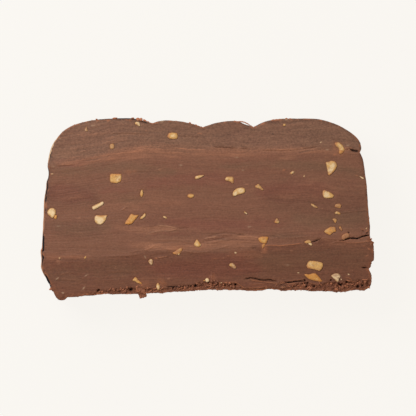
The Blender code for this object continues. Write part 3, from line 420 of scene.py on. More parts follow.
# Corners, anticlockwise; tone (0 cream, 1 amber); side of the toasted skin or None; veil of gianduja.
KERNELS = [
    ([(-14.33, 25.79), (-13.5, 25.15), (-11.92, 25.07), (-10.8, 25.18), (-10.58, 26.19), (-10.8, 27.16),
      (-12.31, 27.38), (-13.72, 27.31), (-14.11, 26.59)], 0.55, 160, 0.22),
    ([(-25.99, 30.4), (-25.06, 30.08), (-24.41, 29.57), (-23.98, 29.75), (-24.23, 30.47), (-24.41, 31.19),
      (-25.67, 31.27), (-25.99, 30.94)], 0.15, None, 0.25),
    ([(-43.7, 29.11), (-44.1, 28.31), (-43.96, 27.85), (-42.91, 27.99), (-43.56, 29.68)], 0.2, None, 0.55),
    ([(-34.92, 21.65), (-34.2, 21.37), (-33.48, 21.73), (-33.41, 22.73), (-33.77, 23.35), (-34.7, 23.31),
      (-35.06, 22.59)], 0.55, None, 0.55),
    ([(-34.99, 10.31), (-34.63, 9.41), (-32.44, 9.13), (-31, 9.92), (-30.78, 11.5), (-30.92, 12.47), (-34.42, 12.55),
      (-34.92, 12.22)], 0.5, 80, 0.28),
    ([(-23.94, 6.07), (-24.16, 5.35), (-23.94, 4.55), (-23.54, 4.09), (-23.22, 4.48), (-23, 5.45), (-23.15, 6.39),
      (-23.54, 7.04)], 0.5, None, 0.1),
    ([(-41.4, 0.13), (-40.9, -0.41), (-40.1, -0.13), (-38.7, 0.67), (-37.4, 1.46), (-37.22, 2.18), (-37.51, 2.68),
      (-38.92, 1.96), (-40.5, 1.24), (-41.47, 0.67)], 0.05, None, 0.04),
    ([(-40.54, -3.69), (-40.32, -4.73), (-39.42, -5.53), (-38.3, -5.81), (-37.44, -5.2), (-36.72, -4.41),
      (-36.32, -3.37), (-35.86, -2.32), (-38.23, -2.5), (-39.92, -2.32), (-40.39, -2.72)], 0.18, 90, 0.08),
    ([(-28.22, -5.71), (-27.11, -5.45), (-26.32, -4.41), (-25.42, -3.44), (-24.62, -2.32), (-26.32, -2.32),
      (-27.04, -1.78), (-27.5, -1.93), (-28.3, -3.29), (-29.23, -4.55), (-29.7, -5.49)], 0.8, 120, 0.12),
    ([(-23.94, -3.8), (-23.4, -3.73), (-22.61, -3.19), (-22.03, -2.36), (-22.28, -1.57), (-22.75, -1.75),
      (-23.15, -2.47), (-23.87, -2.93), (-24.19, -3.47)], 0.42, 60, 0.08),
    ([(-15.84, -3.11), (-15.26, -3.29), (-14.62, -3.69), (-14.44, -3.29), (-14.94, -2.9), (-15.44, -2.57),
      (-15.95, -2.83)], 0.3, None, 0.1),
    ([(-57.24, -2.11), (-56.45, -2.72), (-55.87, -3.44), (-55.3, -3.11), (-54.76, -2.39), (-54.43, -1.53),
      (-54.58, -0.49), (-55.26, 0.16), (-56.27, 0.23), (-57.17, -0.41), (-57.56, -1.39)], 0.25, None, 0.13),
    ([(-55.15, -3.44), (-54.68, -3.76), (-54.11, -3.62), (-54.04, -2.57), (-54.43, -2.18), (-55.15, -2.9)], 0.75, None,
      0.2),
    ([(-4.18, 10.57), (-3.31, 10.71), (-2.34, 11.18), (-1.48, 11.68), (-0.9, 12.15), (-2.2, 12.08), (-3.38, 11.9),
      (-4.18, 11.68), (-4.43, 11.03)], 0.2, 60, 0.08),
    ([(6.66, 10.21), (7.45, 9.95), (8.42, 9.7), (9.22, 9.05), (9.68, 9.31), (9.54, 9.95), (9.61, 10.93), (9.14, 11.47),
      (7.92, 11.54), (6.88, 11.39), (6.41, 10.6)], 0.3, 0, 0.36),
    ([(9.43, 4.52), (10.26, 4.59), (11.2, 5.17), (12.24, 5.31), (13.36, 5.71), (13.75, 6.43), (13.61, 7.22),
      (12.64, 7.61), (11.05, 7.4), (9.86, 6.75), (9.29, 5.89), (9.18, 4.91)], 0.32, None, 0),
    ([(-6.95, 4.12), (-6.23, 3.94), (-5.18, 3.87), (-4.64, 4.45), (-4.79, 5.06), (-5.62, 5.38), (-6.8, 5.24),
      (-7.16, 4.59)], 0.7, None, 0.42),
    ([(17.46, 7.69), (18.25, 7.36), (19.22, 6.97), (20.16, 6.53), (20.41, 6.86), (19.62, 7.58), (18.97, 8.41),
      (18.4, 8.95), (18, 8.62), (17.28, 8.15)], 0.45, None, 0.48),
    ([(27.4, 29.83), (27.97, 29.68), (28.37, 30.01), (28.22, 30.47), (27.65, 30.55), (27.18, 30.22)], 0.1, 180, 0.1),
    ([(29.95, 12.44), (30.46, 12.44), (31.18, 12.83), (31.64, 13.09), (31.39, 13.55), (30.67, 13.63), (30.38, 13.3),
      (29.81, 12.91)], 0.2, None, 0.55),
    ([(43.02, 15.43), (43.34, 13.84), (43.56, 12.22), (44.14, 11.9), (44.86, 12.55), (45.58, 13.34), (46.37, 14.38),
      (46.76, 15.43), (46.51, 16.33), (45.9, 17.05), (44.78, 17.26), (43.81, 16.87), (42.7, 16.72)], 0.38, -60, 0.26),
    ([(45.97, 23.2), (46.55, 22.45), (47.45, 21.69), (47.66, 20.86), (47.38, 20.07), (48.13, 19.75), (49.03, 20.32),
      (49.61, 21.11), (49.25, 22.01), (48.56, 23.02), (47.45, 23.89), (46.01, 23.81)], 0.3, 150, 0.3),
    ([(47.41, 20.5), (47.45, 19.93), (48.06, 19.6), (48.96, 20.14), (49.25, 20.79), (48.53, 21.19), (47.66, 21.08)], 1,
      None, 0.45),
    ([(41.58, 5.06), (41.98, 4.01), (43.09, 3.73), (44.35, 3.8), (45.4, 4.01), (45.79, 4.66), (45, 5.38), (43.88, 6.1),
      (43.02, 6.28), (42.3, 6.82), (41.65, 6.5)], 0.3, 150, 0.14),
    ([(37.66, 1.06), (38.77, 0.41), (39.74, 0.13), (39.89, 0.59), (38.7, 1.31), (37.73, 1.78), (37.3, 1.78)], 0.5, None,
      0.4),
    ([(46.12, 0.59), (46.84, 0.34), (47.95, 0.2), (48.38, 0.67), (48.2, 1.64), (47.48, 1.78), (46.37, 1.64),
      (45.9, 0.99)], 0.7, 180, 0.52),
    ([(46.12, -1.85), (47.02, -1.93), (47.95, -2.18), (48.13, -1.67), (47.41, -1.28), (46.76, -0.81), (46.44, -1.13),
      (45.9, -1.6)], 0.4, None, 0.42),
    ([(45.36, -4.09), (45.76, -4.66), (46.15, -5.27), (46.58, -4.73), (46.73, -3.83), (45.94, -3.55), (45.04, -3.62)],
      0.45, None, 0.45),
    ([(42.41, -8.59), (43.13, -8.98), (44.17, -9.59), (44.71, -9.13), (45.43, -8.48), (46.4, -8.33), (46.33, -6.82),
      (45.68, -6.5), (44.24, -6.64), (43.06, -7.29), (42.08, -8.15)], 0.75, 45, 0.34),
    ([(47.59, -7.15), (48.02, -7.61), (48.49, -8.08), (48.82, -7.69), (48.49, -7.04), (47.92, -6.32), (47.45, -6.57)],
      0.75, None, 0.52),
    ([(48.42, -10.75), (49.14, -11.29), (49.86, -10.75), (50.98, -10.31), (51.44, -9.7), (50.9, -8.87), (50, -8.8),
      (48.96, -9.38), (48.42, -9.92)], 0.95, None, 0.68),
    ([(24.73, -4.01), (24.16, -4.73), (24.55, -5.13), (25.52, -5.27), (26.1, -4.99), (25.6, -4.09), (25.13, -3.29)],
      0.35, 180, 0.38),
    ([(13.5, -1.53), (14.29, -2.11), (14.54, -1.78), (13.64, -1.06), (13.18, -1.06)], 0, None, 0.15),
    ([(18.68, -11.61), (19.33, -12.26), (20.7, -12.65), (21.56, -12.47), (21.49, -11.86), (21.89, -11.03),
      (22.03, -10.17), (20.84, -10.03), (19.26, -10.17), (18.36, -10.64)], 0.85, -70, 0.28),
    ([(19.66, -13.12), (19.8, -13.84), (20.05, -14.56), (20.2, -14.02), (20.77, -13.37), (21.02, -12.8),
      (20.38, -12.58)], 0.85, None, 0.45),
    ([(35.68, -12.58), (36.65, -12.33), (37.51, -12.33), (37.37, -11.61), (36.72, -11.21), (35.53, -11.54),
      (34.88, -12.08)], 0.45, 180, 0.33),
    ([(36.4, -12.65), (36.9, -13.05), (37.51, -13.37), (37.94, -13.05), (37.44, -12.33), (36.65, -12.29)], 0, None, 0),
    ([(-4.07, -13.63), (-3.1, -13.77), (-2.38, -13.45), (-2.23, -12.91), (-2.56, -12.4), (-3.1, -11.68),
      (-3.53, -10.96), (-3.92, -11.29), (-4.46, -12.19), (-4.79, -12.98)], 0.45, 100, 0.18),
    ([(-2.81, -13.37), (-2.3, -13.45), (-2.16, -12.94), (-2.52, -12.55), (-2.92, -12.76)], 0, None, 0),
    ([(-11.99, -16.33), (-10.87, -16.65), (-10.01, -16.33), (-9.5, -15.79), (-8.96, -14.96), (-8.71, -14.02),
      (-9.5, -14.02), (-10.62, -14.63), (-11.66, -15.53), (-12.56, -15.86)], 0.8, 45, 0.58),
    ([(-10.51, -16.72), (-9.9, -16.58), (-9.83, -16), (-10.51, -15.93), (-10.94, -16.25)], 0.1, None, 0.22),
    ([(-20.81, -19.64), (-20.23, -20.29), (-19.91, -20.47), (-19.58, -19.75), (-19.44, -18.92), (-19.84, -18.13),
      (-20.63, -18.2), (-21.28, -18.92)], 0.15, None, 0.5),
    ([(8.46, -20.86), (9.5, -21.47), (10.3, -21.73), (10.51, -21.26), (10.04, -20.36), (9.25, -19.57), (8.35, -19.64),
      (7.81, -20.29)], 0.25, -20, 0.5),
    ([(36.18, -21.47), (37.62, -21.73), (39.2, -22.05), (40.5, -22.45), (41.22, -21.73), (41.69, -20.61),
      (41.62, -19.64), (40.82, -19.24), (38.81, -18.85), (36.79, -18.77), (36.25, -19.49), (35.78, -20.54)], 0.55, -120,
      0.26),
    ([(35.71, -24.61), (36.61, -25.33), (37.66, -25.65), (39.24, -26.05), (40.86, -26.37), (41.65, -26.23),
      (40.86, -25.25), (40.03, -24.28), (39.17, -23.35), (38.05, -23.24), (36.68, -23.74), (35.5, -23.42),
      (34.92, -23.74)], 0.9, -70, 0.05),
    ([(45.36, -24.97), (45.94, -25.43), (46.48, -26.15), (47.05, -26.48), (47.45, -25.87), (47.52, -25.15),
      (48.1, -24.64), (47.92, -23.99), (47.38, -23.45), (46.48, -23.27), (45.54, -23.53), (44.64, -24.1)], 0, None,
      0.5),
    ([(-26.46, -26.08), (-25.85, -26.08), (-25.27, -26.73), (-24.55, -26.98), (-23.58, -27.2), (-23.36, -26.8),
      (-24.41, -26.01), (-25.02, -25.43), (-25.42, -24.82), (-25.99, -24.57), (-26.46, -25.22), (-26.96, -25.69)], 0.6,
      None, 0.2),
    ([(-18.36, -27.77), (-18.29, -28.64), (-17.78, -29.21), (-17.24, -29.21), (-16.92, -28.42), (-17.14, -27.45),
      (-17.57, -26.66), (-17.96, -26.8)], 0.35, None, 0.12),
    ([(-0.65, -26.05), (-0.14, -26.44), (0.5, -26.3), (0.79, -25.72), (0.5, -25.07), (-0.14, -24.93), (-0.72, -25.51)],
      0, None, 0.03),
    ([(-1.22, -26.15), (-0.61, -26.12), (-0.72, -25.58), (-1.37, -25.72)], 0.75, None, 0.2),
    ([(-53.24, -18.23), (-52.74, -18.16), (-52.74, -17.62), (-53.14, -17.37), (-53.57, -17.69)], 0.2, None, 0.65),
    ([(-43.92, -18.16), (-43.6, -17.51), (-43.34, -16.9), (-43.74, -16.97), (-44.24, -17.44), (-44.32, -18.02)], 0.25,
      None, 0.5),
    ([(54.83, 11.72), (55.37, 11.14), (56.16, 10.6), (56.52, 10.64), (56.45, 11.07), (55.73, 11.47)], 0, None, 0.3),
]
# Specks of nut too small for the list above: x, y, size, tone, veil.
FLECKS = [
    (34.9, 11.7, 0.75, 0.2, 0.5), (10.3, -15.9, 1, 0, 0.5), (51, -23.7, 0.9, 0.1, 0.5), (32.9, -23.1, 0.8, 0.1, 0.5),
    (5, -26.6, 0.85, 0.1, 0.25), (41, 23.9, 0.8, 0, 0.5), (48.3, -25.45, 0.6, 0, 0), (-55.7, 12.5, 1, 0.1, 0.65),
    (57.4, -7.1, 0.8, 0.2, 0.45),
]
KERNEL_SINK = 0.9
KERNEL_STEP = 0.26
BACK_KERNELS = 26

# ---- Crumbs, the chip and the curl on the third lobe ----

CHIP_CENTRE = Vector((-23.8, -29.8))
CHIP_LENGTH = 2.9
CHIP_REACH = 4.6
CHIP_DEPTH = 1.3
CHIP_TURN = math.radians(20)
CHIP_DROOP = 1.1
# Crumbs that cling to the edges: x, y, length, width, turn.
EDGE_CRUMBS = [
    (-39.8, 32.2, 0.7, 0.5, 0), (-33.2, 32.6, 1.7, 0.7, 5), (-26.8, 32.6, 1.2, 0.5, 0), (-24.9, 32.2, 1.5, 1.2, -25),
    (-23.9, 32.1, 1.3, 1.1, 50), (-22.4, 31.7, 1.5, 0.7, -30), (-21.2, 31.2, 1.1, 0.5, -30), (23.4, 31.8, 1.4, 0.6, 20),
    (24.7, 31.9, 1.7, 0.8, 10), (26.2, 32.1, 1.3, 0.6, 0), (28.5, 32.4, 1, 0.55, 10), (29.9, 32.35, 1.1, 0.45, 0),
    (-6.2, 30.9, 0.9, 0.5, -15), (-4, 30.1, 0.8, 0.5, -30), (17.4, 29.5, 0.9, 0.5, -20), (9.8, 31.2, 1.5, 0.9, 0),
    (11.2, 31.1, 1.2, 0.8, -10), (59.9, -17.5, 1, 0.7, 20), (59.7, -12.2, 1.1, 0.6, -20), (58.9, -18.4, 0.8, 0.6, 0),
    (57.6, -7.4, 0.9, 0.6, 40), (46.4, -29, 1.9, 0.9, -15), (27.9, -28.2, 1.6, 1, 30), (-56.3, -28.9, 1.1, 0.8, 40),
    (-53.2, -31.9, 1.2, 0.7, -30), (-59.6, -14.9, 0.8, 0.6, 80), (60, -15.7, 0.9, 0.5, 70), (58.6, -19.5, 0.9, 0.6, 40),
    (58, -21.9, 0.8, 0.6, 0), (59, -25.2, 0.9, 0.5, 70), (58.3, -28.3, 1, 0.5, -50), (58.2, -5.1, 0.8, 0.4, 80),
    (59.1, -10.9, 0.7, 0.5, 10),
]
CURL_PATH = [(10.4, 31.3), (12.0, 31.4), (13.6, 31.05), (15.1, 30.25), (16.1, 29.45)]
CURL_WIDTH = 0.6
CURL_THICKNESS = 0.42
SHREDS = 46
CHIP_CRUMBS = 46

SEED = 27


# ---- Settings ----


def length_property(name, description, default):
    """A length in metres that the sidebar shows in the scene's unit."""
    return bpy.props.FloatProperty(
        name=name, description=description, default=default, min=0.0, precision=5, unit="LENGTH", subtype="DISTANCE"
    )


def share_property(name, description, default, highest=1.0):
    """A plain share or factor."""
    return bpy.props.FloatProperty(
        name=name, description=description, default=default, min=0.0, max=highest, subtype="FACTOR"
    )


def colour_property(name, description, default):
    """A linear colour."""
    return bpy.props.FloatVectorProperty(
        name=name, description=description, default=default, size=3, min=0.0, max=1.0, subtype="COLOR"
    )


class SliceSettings(bpy.types.PropertyGroup):
    """Mesh spacing and colours of the slice."""

    rim_step: length_property("Rim spacing", "Spacing of the vertices along the cut edge", 0.35 * MM)
    face_along: length_property("Spacing along", "Spacing on the cut face along the knife's drag", 0.8 * MM)
    face_across: length_property("Spacing across", "Spacing on the cut face across the knife's drag", 0.45 * MM)
    band_step: length_property("Crumbled spacing", "Spacing in the crumbled band", 0.26 * MM)
    back_step: length_property("Back spacing", "Spacing on the back cut face", 1.2 * MM)
    top_colour: colour_property("Top layer", "Colour of the last poured layer", (0.212, 0.099, 0.059))
    middle_colour: colour_property("Middle layer", "Colour of the thick middle layer", (0.218, 0.089, 0.050))
    base_colour: colour_property("Base layer", "Colour of the first poured layer", (0.175, 0.064, 0.033))
    olive_tint: colour_property("Olive tint", "Share of red, green and blue kept in the greyer patches",
                                (0.90, 1.0, 0.98))
    red_tint: colour_property("Red tint", "Share of red, green and blue kept in the redder patches",
                              (1.0, 0.88, 0.92))
    warm_colour: colour_property("Warm smear", "Colour where the knife dragged fat up", (0.325, 0.132, 0.071))
    pale_colour: colour_property("Pale smear", "Colour of the thin pale films", (0.356, 0.150, 0.081))
    # Darker than the cut face: partly the moulded skin's own colour and partly painted shade, so that the walls show as
    # a dark line round the edge from above.
    skin_colour: colour_property("Moulded skin", "Colour of the walls that the mould made", (0.064, 0.027, 0.016))
    torn_colour: colour_property("Torn", "Colour of fresh crumbled gianduja", (0.275, 0.098, 0.052))
    # The burr colour serves real burrs and rust-orange smears, and also painted highlight on crag tops, ridge crests
    # and the ledge's rim.
    burr_and_highlight_colour: colour_property("Burr", "Colour of the thin burrs on the edges", (0.418, 0.147, 0.064))
    # The flake colour serves pale flakes and meal of nut, and also painted highlight on the ledge's rim up the left
    # side.
    flake_and_highlight_colour: colour_property("Flake", "Colour of the thin pale flakes on the edges", (0.560, 0.370, 0.230))
    # Painted shade: near-black put deep in cracks, pits, pinholes, the ledge's gap, torn crags and beside the pieces of
    # nut.
    painted_shade_colour: colour_property("Hollow", "Colour deep in cracks and pits", (0.014, 0.010, 0.011))
    cut_roughness: share_property("Cut roughness", "Roughness of the cut face", 0.58)
    skin_roughness: share_property("Skin roughness", "Roughness of the moulded skin", 0.62)


class HazelnutSettings(bpy.types.PropertyGroup):
    """Colours and height of the chopped hazelnut."""

    cream: colour_property("Cream", "Palest kernel", (0.830, 0.600, 0.335))
    gold: colour_property("Gold", "Kernel of middle tone", (0.675, 0.374, 0.113))
    amber: colour_property("Amber", "Most roasted kernel", (0.615, 0.252, 0.046))
    toasted: colour_property("Toasted skin", "Brown side of a kernel", (0.520, 0.195, 0.050))
    proud: length_property("Proud", "How far a piece stands over the cut", 0.26 * MM)


class CrumbSettings(bpy.types.PropertyGroup):
    """Crumbs along the base edge."""

    count: bpy.props.IntProperty(name="Crumbs", description="Crumbs in the crumbled band", default=225, min=0)
    smallest: length_property("Smallest", "Size of the smallest crumb", 0.28 * MM)
    largest: length_property("Largest", "Size of the largest crumb", 1.05 * MM)
    dull: colour_property("Dull crumb", "Colour of a crumb in shade", (0.185, 0.066, 0.037))
    # The bright crumb colour is painted highlight, the lit side of a crumb; the dull one is the crumb in shade.
    bright: colour_property("Bright crumb", "Colour of a crumb's fresh side", (0.560, 0.200, 0.090))


class StageSettings(bpy.types.PropertyGroup):
    """Floor, light and camera."""

    floor: colour_property("Floor", "Colour of the pale floor", (0.955, 0.929, 0.886))
    floor_glow: share_property("Floor glow", "Share of the floor's light that is its own", 0.95)
    key_power: bpy.props.FloatProperty(name="Key", description="Power of the soft key light", default=2.4, unit="POWER")
    fill: share_property("Fill", "Strength of the even light from all round", 0.42, 2.0)
    camera_distance: length_property("Camera distance", "From the camera to the cut face", 1.5)
    camera_tilt: bpy.props.FloatProperty(
        name="Camera tilt", description="Lean of the camera off the vertical", default=math.radians(0.35),
        subtype="ANGLE",
    )
    view_width: length_property("View width", "Width of the view at the cut face", 149.76 * MM)


# ---- Small shared helpers ----


def smooth_step(value):
    """0 below 0, 1 above 1 and an even S between."""
    value = min(1.0, max(0.0, value))
    return value * value * (3 - 2 * value)


def station(table, x):
    """Straight-line reading of a table of (x, value) stations."""
    for (x0, v0), (x1, v1) in zip(table, table[1:]):
        if x <= x1:
            return v0 + (v1 - v0) * max(0.0, (x - x0) / (x1 - x0))
    return table[-1][1]


def rough(x, y, z):
    """Smooth noise from about -1 to 1."""
    return noise.noise(Vector((x, y, z)))


def set_in_frame(spot):
    """A point of the outline's coordinates, in millimetres, as a point of the frame, in metres."""
    return ((spot.x - BOX_CENTRE.x) * MM, (spot.y - BOX_CENTRE.y) * MM, spot.z * MM)


class Cloud:
    """Vertices in millimetres, each with named marks from 0 to 1, and the faces between them."""

    def __init__(self, *names):
        self.spots = []
        self.faces = []
        self.moulded = set()
        self.marks = {name: [] for name in names}

    def vertex(self, spot, **marks):
        self.spots.append(Vector(spot))
        for name, values in self.marks.items():
            values.append(min(1.0, max(0.0, marks.get(name, 0.0))))
        return len(self.spots) - 1

    def piece(self, name, *materials):
        """The finished piece, kept inside the solid's box and riding on the slice's body."""
        low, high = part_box(NODE)
        places = []
        for spot in self.spots:
            place = set_in_frame(spot)
            places.append([min(max(p, a), b) for p, a, b in zip(place, low, high)])
        mesh = bpy.data.meshes.new(name)
        mesh.from_pydata(places, [], self.faces)
        if mesh.validate():
            raise RuntimeError(f"{name} has faulty faces")
        for mark, values in self.marks.items():
            mesh.attributes.new(mark, "FLOAT", "POINT").data.foreach_set("value", values)
        for material in materials:
            mesh.materials.append(material)
        for i in self.moulded:
            mesh.polygons[i].material_index = 1
        mesh.shade_smooth()
        made = bpy.data.objects.new(name, mesh)
        bpy.context.scene.collection.objects.link(made)
        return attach(made, BODY)


# ---- Outline of the cut face ----


def half_lobe(crest, notch, fullness):
    """Points of one side of a lobe, from its crest down to the notch beside it."""
    points = []
    for i in range(LOBE_STEPS + 1):
        share = i / LOBE_STEPS
        x = crest[0] + (notch[0] - crest[0]) * share
        points.append((x, notch[1] + (crest[1] - notch[1]) * (1 - share**fullness)))
    return points


def smooth_through(knots):
    """A Catmull-Rom curve through the knots."""
    ends = [knots[0], *knots, knots[-1]]
    points = [knots[0]]
    for a, b, c, d in zip(ends, ends[1:], ends[2:], ends[3:]):
        for i in range(1, CURVE_STEPS + 1):
            t = i / CURVE_STEPS
            points.append(tuple(
                0.5 * (2 * b[k] + (c[k] - a[k]) * t + (2 * a[k] - 5 * b[k] + 4 * c[k] - d[k]) * t**2
                       + (3 * b[k] - a[k] - 3 * c[k] + d[k]) * t**3)
                for k in (0, 1)
            ))
    return points


def spread(points, step):
    """The points of a span spaced evenly, with its first point kept and its last left to the next span."""
    lengths = [0.0]
    for a, b in zip(points, points[1:]):
        lengths.append(lengths[-1] + math.dist(a, b))
    count = max(1, round(lengths[-1] / step))
    spaced = []
    j = 0
    for i in range(count):
        want = lengths[-1] * i / count
        while lengths[j + 1] < want:
            j += 1
        share = (want - lengths[j]) / max(lengths[j + 1] - lengths[j], 1e-9)
        spaced.append(Vector(points[j]).lerp(Vector(points[j + 1]), share))
    return spaced


def normals_of(points):
    """Outward normals of an anticlockwise loop."""
    normals = []
    for i in range(len(points)):
        along = points[(i + 1) % len(points)] - points[i - 1]
        normals.append(Vector((along.y, -along.x)).normalized())
    return normals


def outline(step):
    """The front cut face's edge, anticlockwise, as an even number of points."""
    spans = [
        smooth_through(RIGHT_SHOULDER),
        half_lobe(RIGHT_CREST, RIGHT_NOTCH, FULL_LOBE),
        half_lobe(THIRD_CREST, RIGHT_NOTCH, SOFT_LOBE)[::-1],
        half_lobe(THIRD_CREST, MIDDLE_NOTCH, SOFT_LOBE),
        half_lobe(SECOND_CREST, MIDDLE_NOTCH, SOFT_LOBE)[::-1],
        half_lobe(SECOND_CREST, LEFT_NOTCH, SOFT_LOBE),
        half_lobe(LEFT_CREST, LEFT_NOTCH, STEEP_LOBE)[::-1],
    ]
    for knots in (LEFT_SHOULDER, LEFT_SIDE, LEFT_TOE, BASE_EDGE, RIGHT_HEEL, RIGHT_LEDGE, RIGHT_SIDE):
        spans.append(smooth_through(knots))
    points = [p for span in spans for p in spread(span, step)]
    return points[:len(points) // 2 * 2]


def inside(point, loop):
    """True if the point lies inside the loop."""
    crossings = 0
    for a, b in zip(loop, loop[1:] + loop[:1]):
        if (a.y > point.y) != (b.y > point.y):
            crossings += point.x < a.x + (b.x - a.x) * (point.y - a.y) / (b.y - a.y)
    return crossings % 2 == 1


def tree_of(points):
    """A search tree of flat points."""
    tree = KDTree(len(points))
    for i, p in enumerate(points):
        tree.insert((p.x, p.y, 0.0), i)
    tree.balance()
    return tree


def gap_to(tree, point):
    """Distance from a flat point to the nearest one of a search tree."""
    return tree.find((*point, 0))[2]


def ring_edges(points):
    """The edges of a closed loop of points."""
    return [(i, (i + 1) % len(points)) for i in range(len(points))]


def fill(cloud, flat, edges, loop, vertex_at, order=list):
    """Triangles between flat points: the first are the loop's vertices, and vertex_at makes each of the others."""
    placed, _, triangles, origins, _, _ = delaunay_2d_cdt(flat, edges, [], 1, 1e-6)
    vertices = {i: loop[origin[0]] for i, origin in enumerate(origins) if origin and origin[0] < len(loop)}
    for triangle in triangles:
        for i in triangle:
            if i not in vertices:
                vertices[i] = vertex_at(placed[i], origins[i][0] if origins[i] else None)
        cloud.faces.append([vertices[i] for i in order(triangle)])


BASE_CURVE = sorted((p.x, p.y) for p in spread(smooth_through(BASE_EDGE), 2.0)) + [BASE_EDGE[-1]]


def base_line(x):
    """Height of the base edge at x."""
    return station(BASE_CURVE, x)


# ---- Walls ----


def torn_side(here):
    """1 on the base and the torn right ledge and heel, 0 on the moulded walls."""
    base = smooth_step((-24 - here.y) / 5)
    ledge = smooth_step((here.x - 54) / 3) * smooth_step((-9 - here.y) / 2)
    return max(base, ledge)


def torn_at(here, depth):
    """How torn the wall is at a depth: the ledge and the heel are torn at their top alone."""
    wander = 2.6 * rough(here.x * 0.22, here.y * 0.22, depth * 0.3)
    wander += 1.0 * rough(here.x * 0.8, here.y * 0.8, depth * 0.9)
    base = smooth_step((-23.0 - here.y + wander) / 7)
    ledge = smooth_step((here.x - 54) / 3) * smooth_step((-9 - here.y + 0.4 * wander) / 2)
    return max(base, ledge * smooth_step((6.5 + wander - depth) / 4))


def ledge_at(here):
    """The ledge beside a point of the outline: width of its rim, width of its gap and darkness of the painted shadow in
    it, and paleness of its rim, which is painted highlight.
    """
    if here.x < -40 and here.y < 28.2:
        rim, gap, dark = (station([(row[0], row[i]) for row in LEFT_LEDGE], here.y) for i in (1, 2, 3))
        return rim, gap, dark, 0.3 + 0.7 * smooth_step((here.y - 16) / 3)
    if here.x < -19 and here.y > 31:
        return 0.0, station(TOP_LEDGE, here.x), 0.95, 0.0
    return 0.0, 0.0, 0.0, 0.0


def wall_spot(here, outward, depth):
    """A point of the wall under a point of the outline, and its marks."""
    share = 1 - depth / THICKNESS
    torn = torn_at(here, depth)
    wander = (0.05 + 0.19 * torn) * rough(here.x * 0.55, here.y * 0.55, depth * 0.4)
    wave = WALL_WAVE * min(share, 1 - share) * 2 * rough(here.x * 0.12, here.y * 0.12, share * 2.3)
    crags = 0.20 * rough(here.x * 1.3, here.y * 1.3, depth * 1.1) + 0.10 * rough(here.x * 3, here.y * 3, depth * 2.8)
    ripple = 0.02 * rough(here.x * 0.9, here.y * 0.9, depth * 0.5)
    stand_out = station(WALL_PROFILE, depth) + wander + wave + torn * crags + ripple
    rim, gap, dark, paleness = ledge_at(here)
    # The ledge's gap is darkened with painted shadow.
    if paleness:
        stand_out -= gap * station(GAP_PROFILE, depth) + rim * station(RIM_PROFILE, depth)
        dark *= station(LEDGE_DARK, depth) * smooth_step(gap / 0.2)
    else:
        stand_out -= gap * smooth_step((0.5 - depth) / 0.25)
        dark *= (gap > 0) * smooth_step((depth - 0.1) / 0.3) * smooth_step((3.0 - depth) / 2.0)
    stand_out -= 0.5 * smooth_step(1.25 - (here - CURL_GAP).length / 2.2)
    flat = here + outward * stand_out + LEAN * (1 - share)
    if here.x > 56 and -26 < here.y < -11.6:
        flat.x += (CLEAN_SIDE - here.x) * min(1.0, depth / 8)
    skin = smooth_step((depth - 0.1) / 0.7) * (1 - 0.75 * torn)
    # Painted shade in the low crags of the torn walls.
    crag_shade = torn * smooth_step((-crags - 0.05) / 0.22) * smooth_step((9 - depth) / 6)
    burr = smooth_step((0.9 - abs(depth - 0.15)) / 0.9)
    burr *= smooth_step(0.2 + 2.2 * rough(here.x * 0.7, here.y * 0.7, 2.0))
    foot = smooth_step(depth - 21) * max(
        0.85 * smooth_step((-40 - here.x) / 6), 0.45 * smooth_step(0.2 + 1.6 * rough(here.x * 0.4, here.y * 0.4, 9.0))
    )
    rust = smooth_step((here.x - 50) / 3) * smooth_step((19 - here.y) / 4) * smooth_step((2.2 - depth) / 1.6)
    rust *= 0.45 + 0.5 * rough(here.x * 0.9, here.y * 0.9, 3.3)
    fresh = torn * (0.35 + 0.65 * smooth_step((7 - depth) / 6))
    # Painted highlight: the ledge's outer rim, just below its gap, in burr colour and paler up the side.
    rim_shown = smooth_step(rim / 0.25) * (1.0 < depth < 1.4)
    marks = {
        "skin": skin,
        "torn": fresh,
        "painted_shade": max(crag_shade * 0.8, dark),
        "burr": max(burr * 0.7, foot, rim_shown * 0.85, rust),
        "flake": rim_shown * paleness,
        "top_layer": smooth_step((here.y - TOP_JOINT) / 3),
        "base_layer": smooth_step(-15 - here.y),
    }
    return Vector((flat.x, flat.y, THICKNESS - depth)), marks


# ---- Relief and tones of the cut face ----


def drag_place(x, y):
    """Height of the knife's drag line through a point, read at the middle of the slice: lines fall to the left."""
    fall = smooth_step((-25 - x) / 33) * smooth_step((y + 8) / 28)
    return y + 5.5 * fall


def crumbled(x, y):
    """1 well inside the crumbled band, 0 above it."""
    top = base_line(x) + station(CRUMBLED_BAND, x)
    top += 0.5 * rough(x * 0.9, 0.0, 5.1) + 0.3 * rough(x * 2.6, 0.0, 9.4)
    return smooth_step((top - y) / 0.5)


def ribbons(table, x, y):
    """How strongly a table's ribbons cover a point."""
    cover = 0.0
    shifted = y + 0.55 * rough(x * 0.07, y * 0.25, 4.0) + 0.22 * rough(x * 0.25, y * 0.9, 6.0)
    for strength, softness, stations in table:
        first, last = stations[0][0], stations[-1][0]
        if not first < x < last:
            continue
        middle = station([(s[0], s[1]) for s in stations], x)
        half = station([(s[0], s[2]) for s in stations], x)
        ends = smooth_step((x - first) / 5) * smooth_step((last - x) / 5)
        cover = max(cover, strength * ends * smooth_step((1 - abs(shifted - middle) / half) / softness))
    return cover


def add_smudges(marks, x, y):
    """Adds the soft patches that cover a point to its marks."""
    for mark, patches in SMUDGES.items():
        for middle_x, middle_y, half_length, half_width, turn, strength in patches:
            away = Vector((x - middle_x, y - middle_y))
            if away.length < 1.6 * max(half_length, half_width):
                away.rotate(Matrix.Rotation(math.radians(-turn), 2))
                share = math.hypot(away.x / half_length, away.y / half_width) + 0.3 * rough(x * 0.6, y * 1.3, 21.0)
                marks[mark] += strength * smooth_step((1.3 - share) / 0.9)


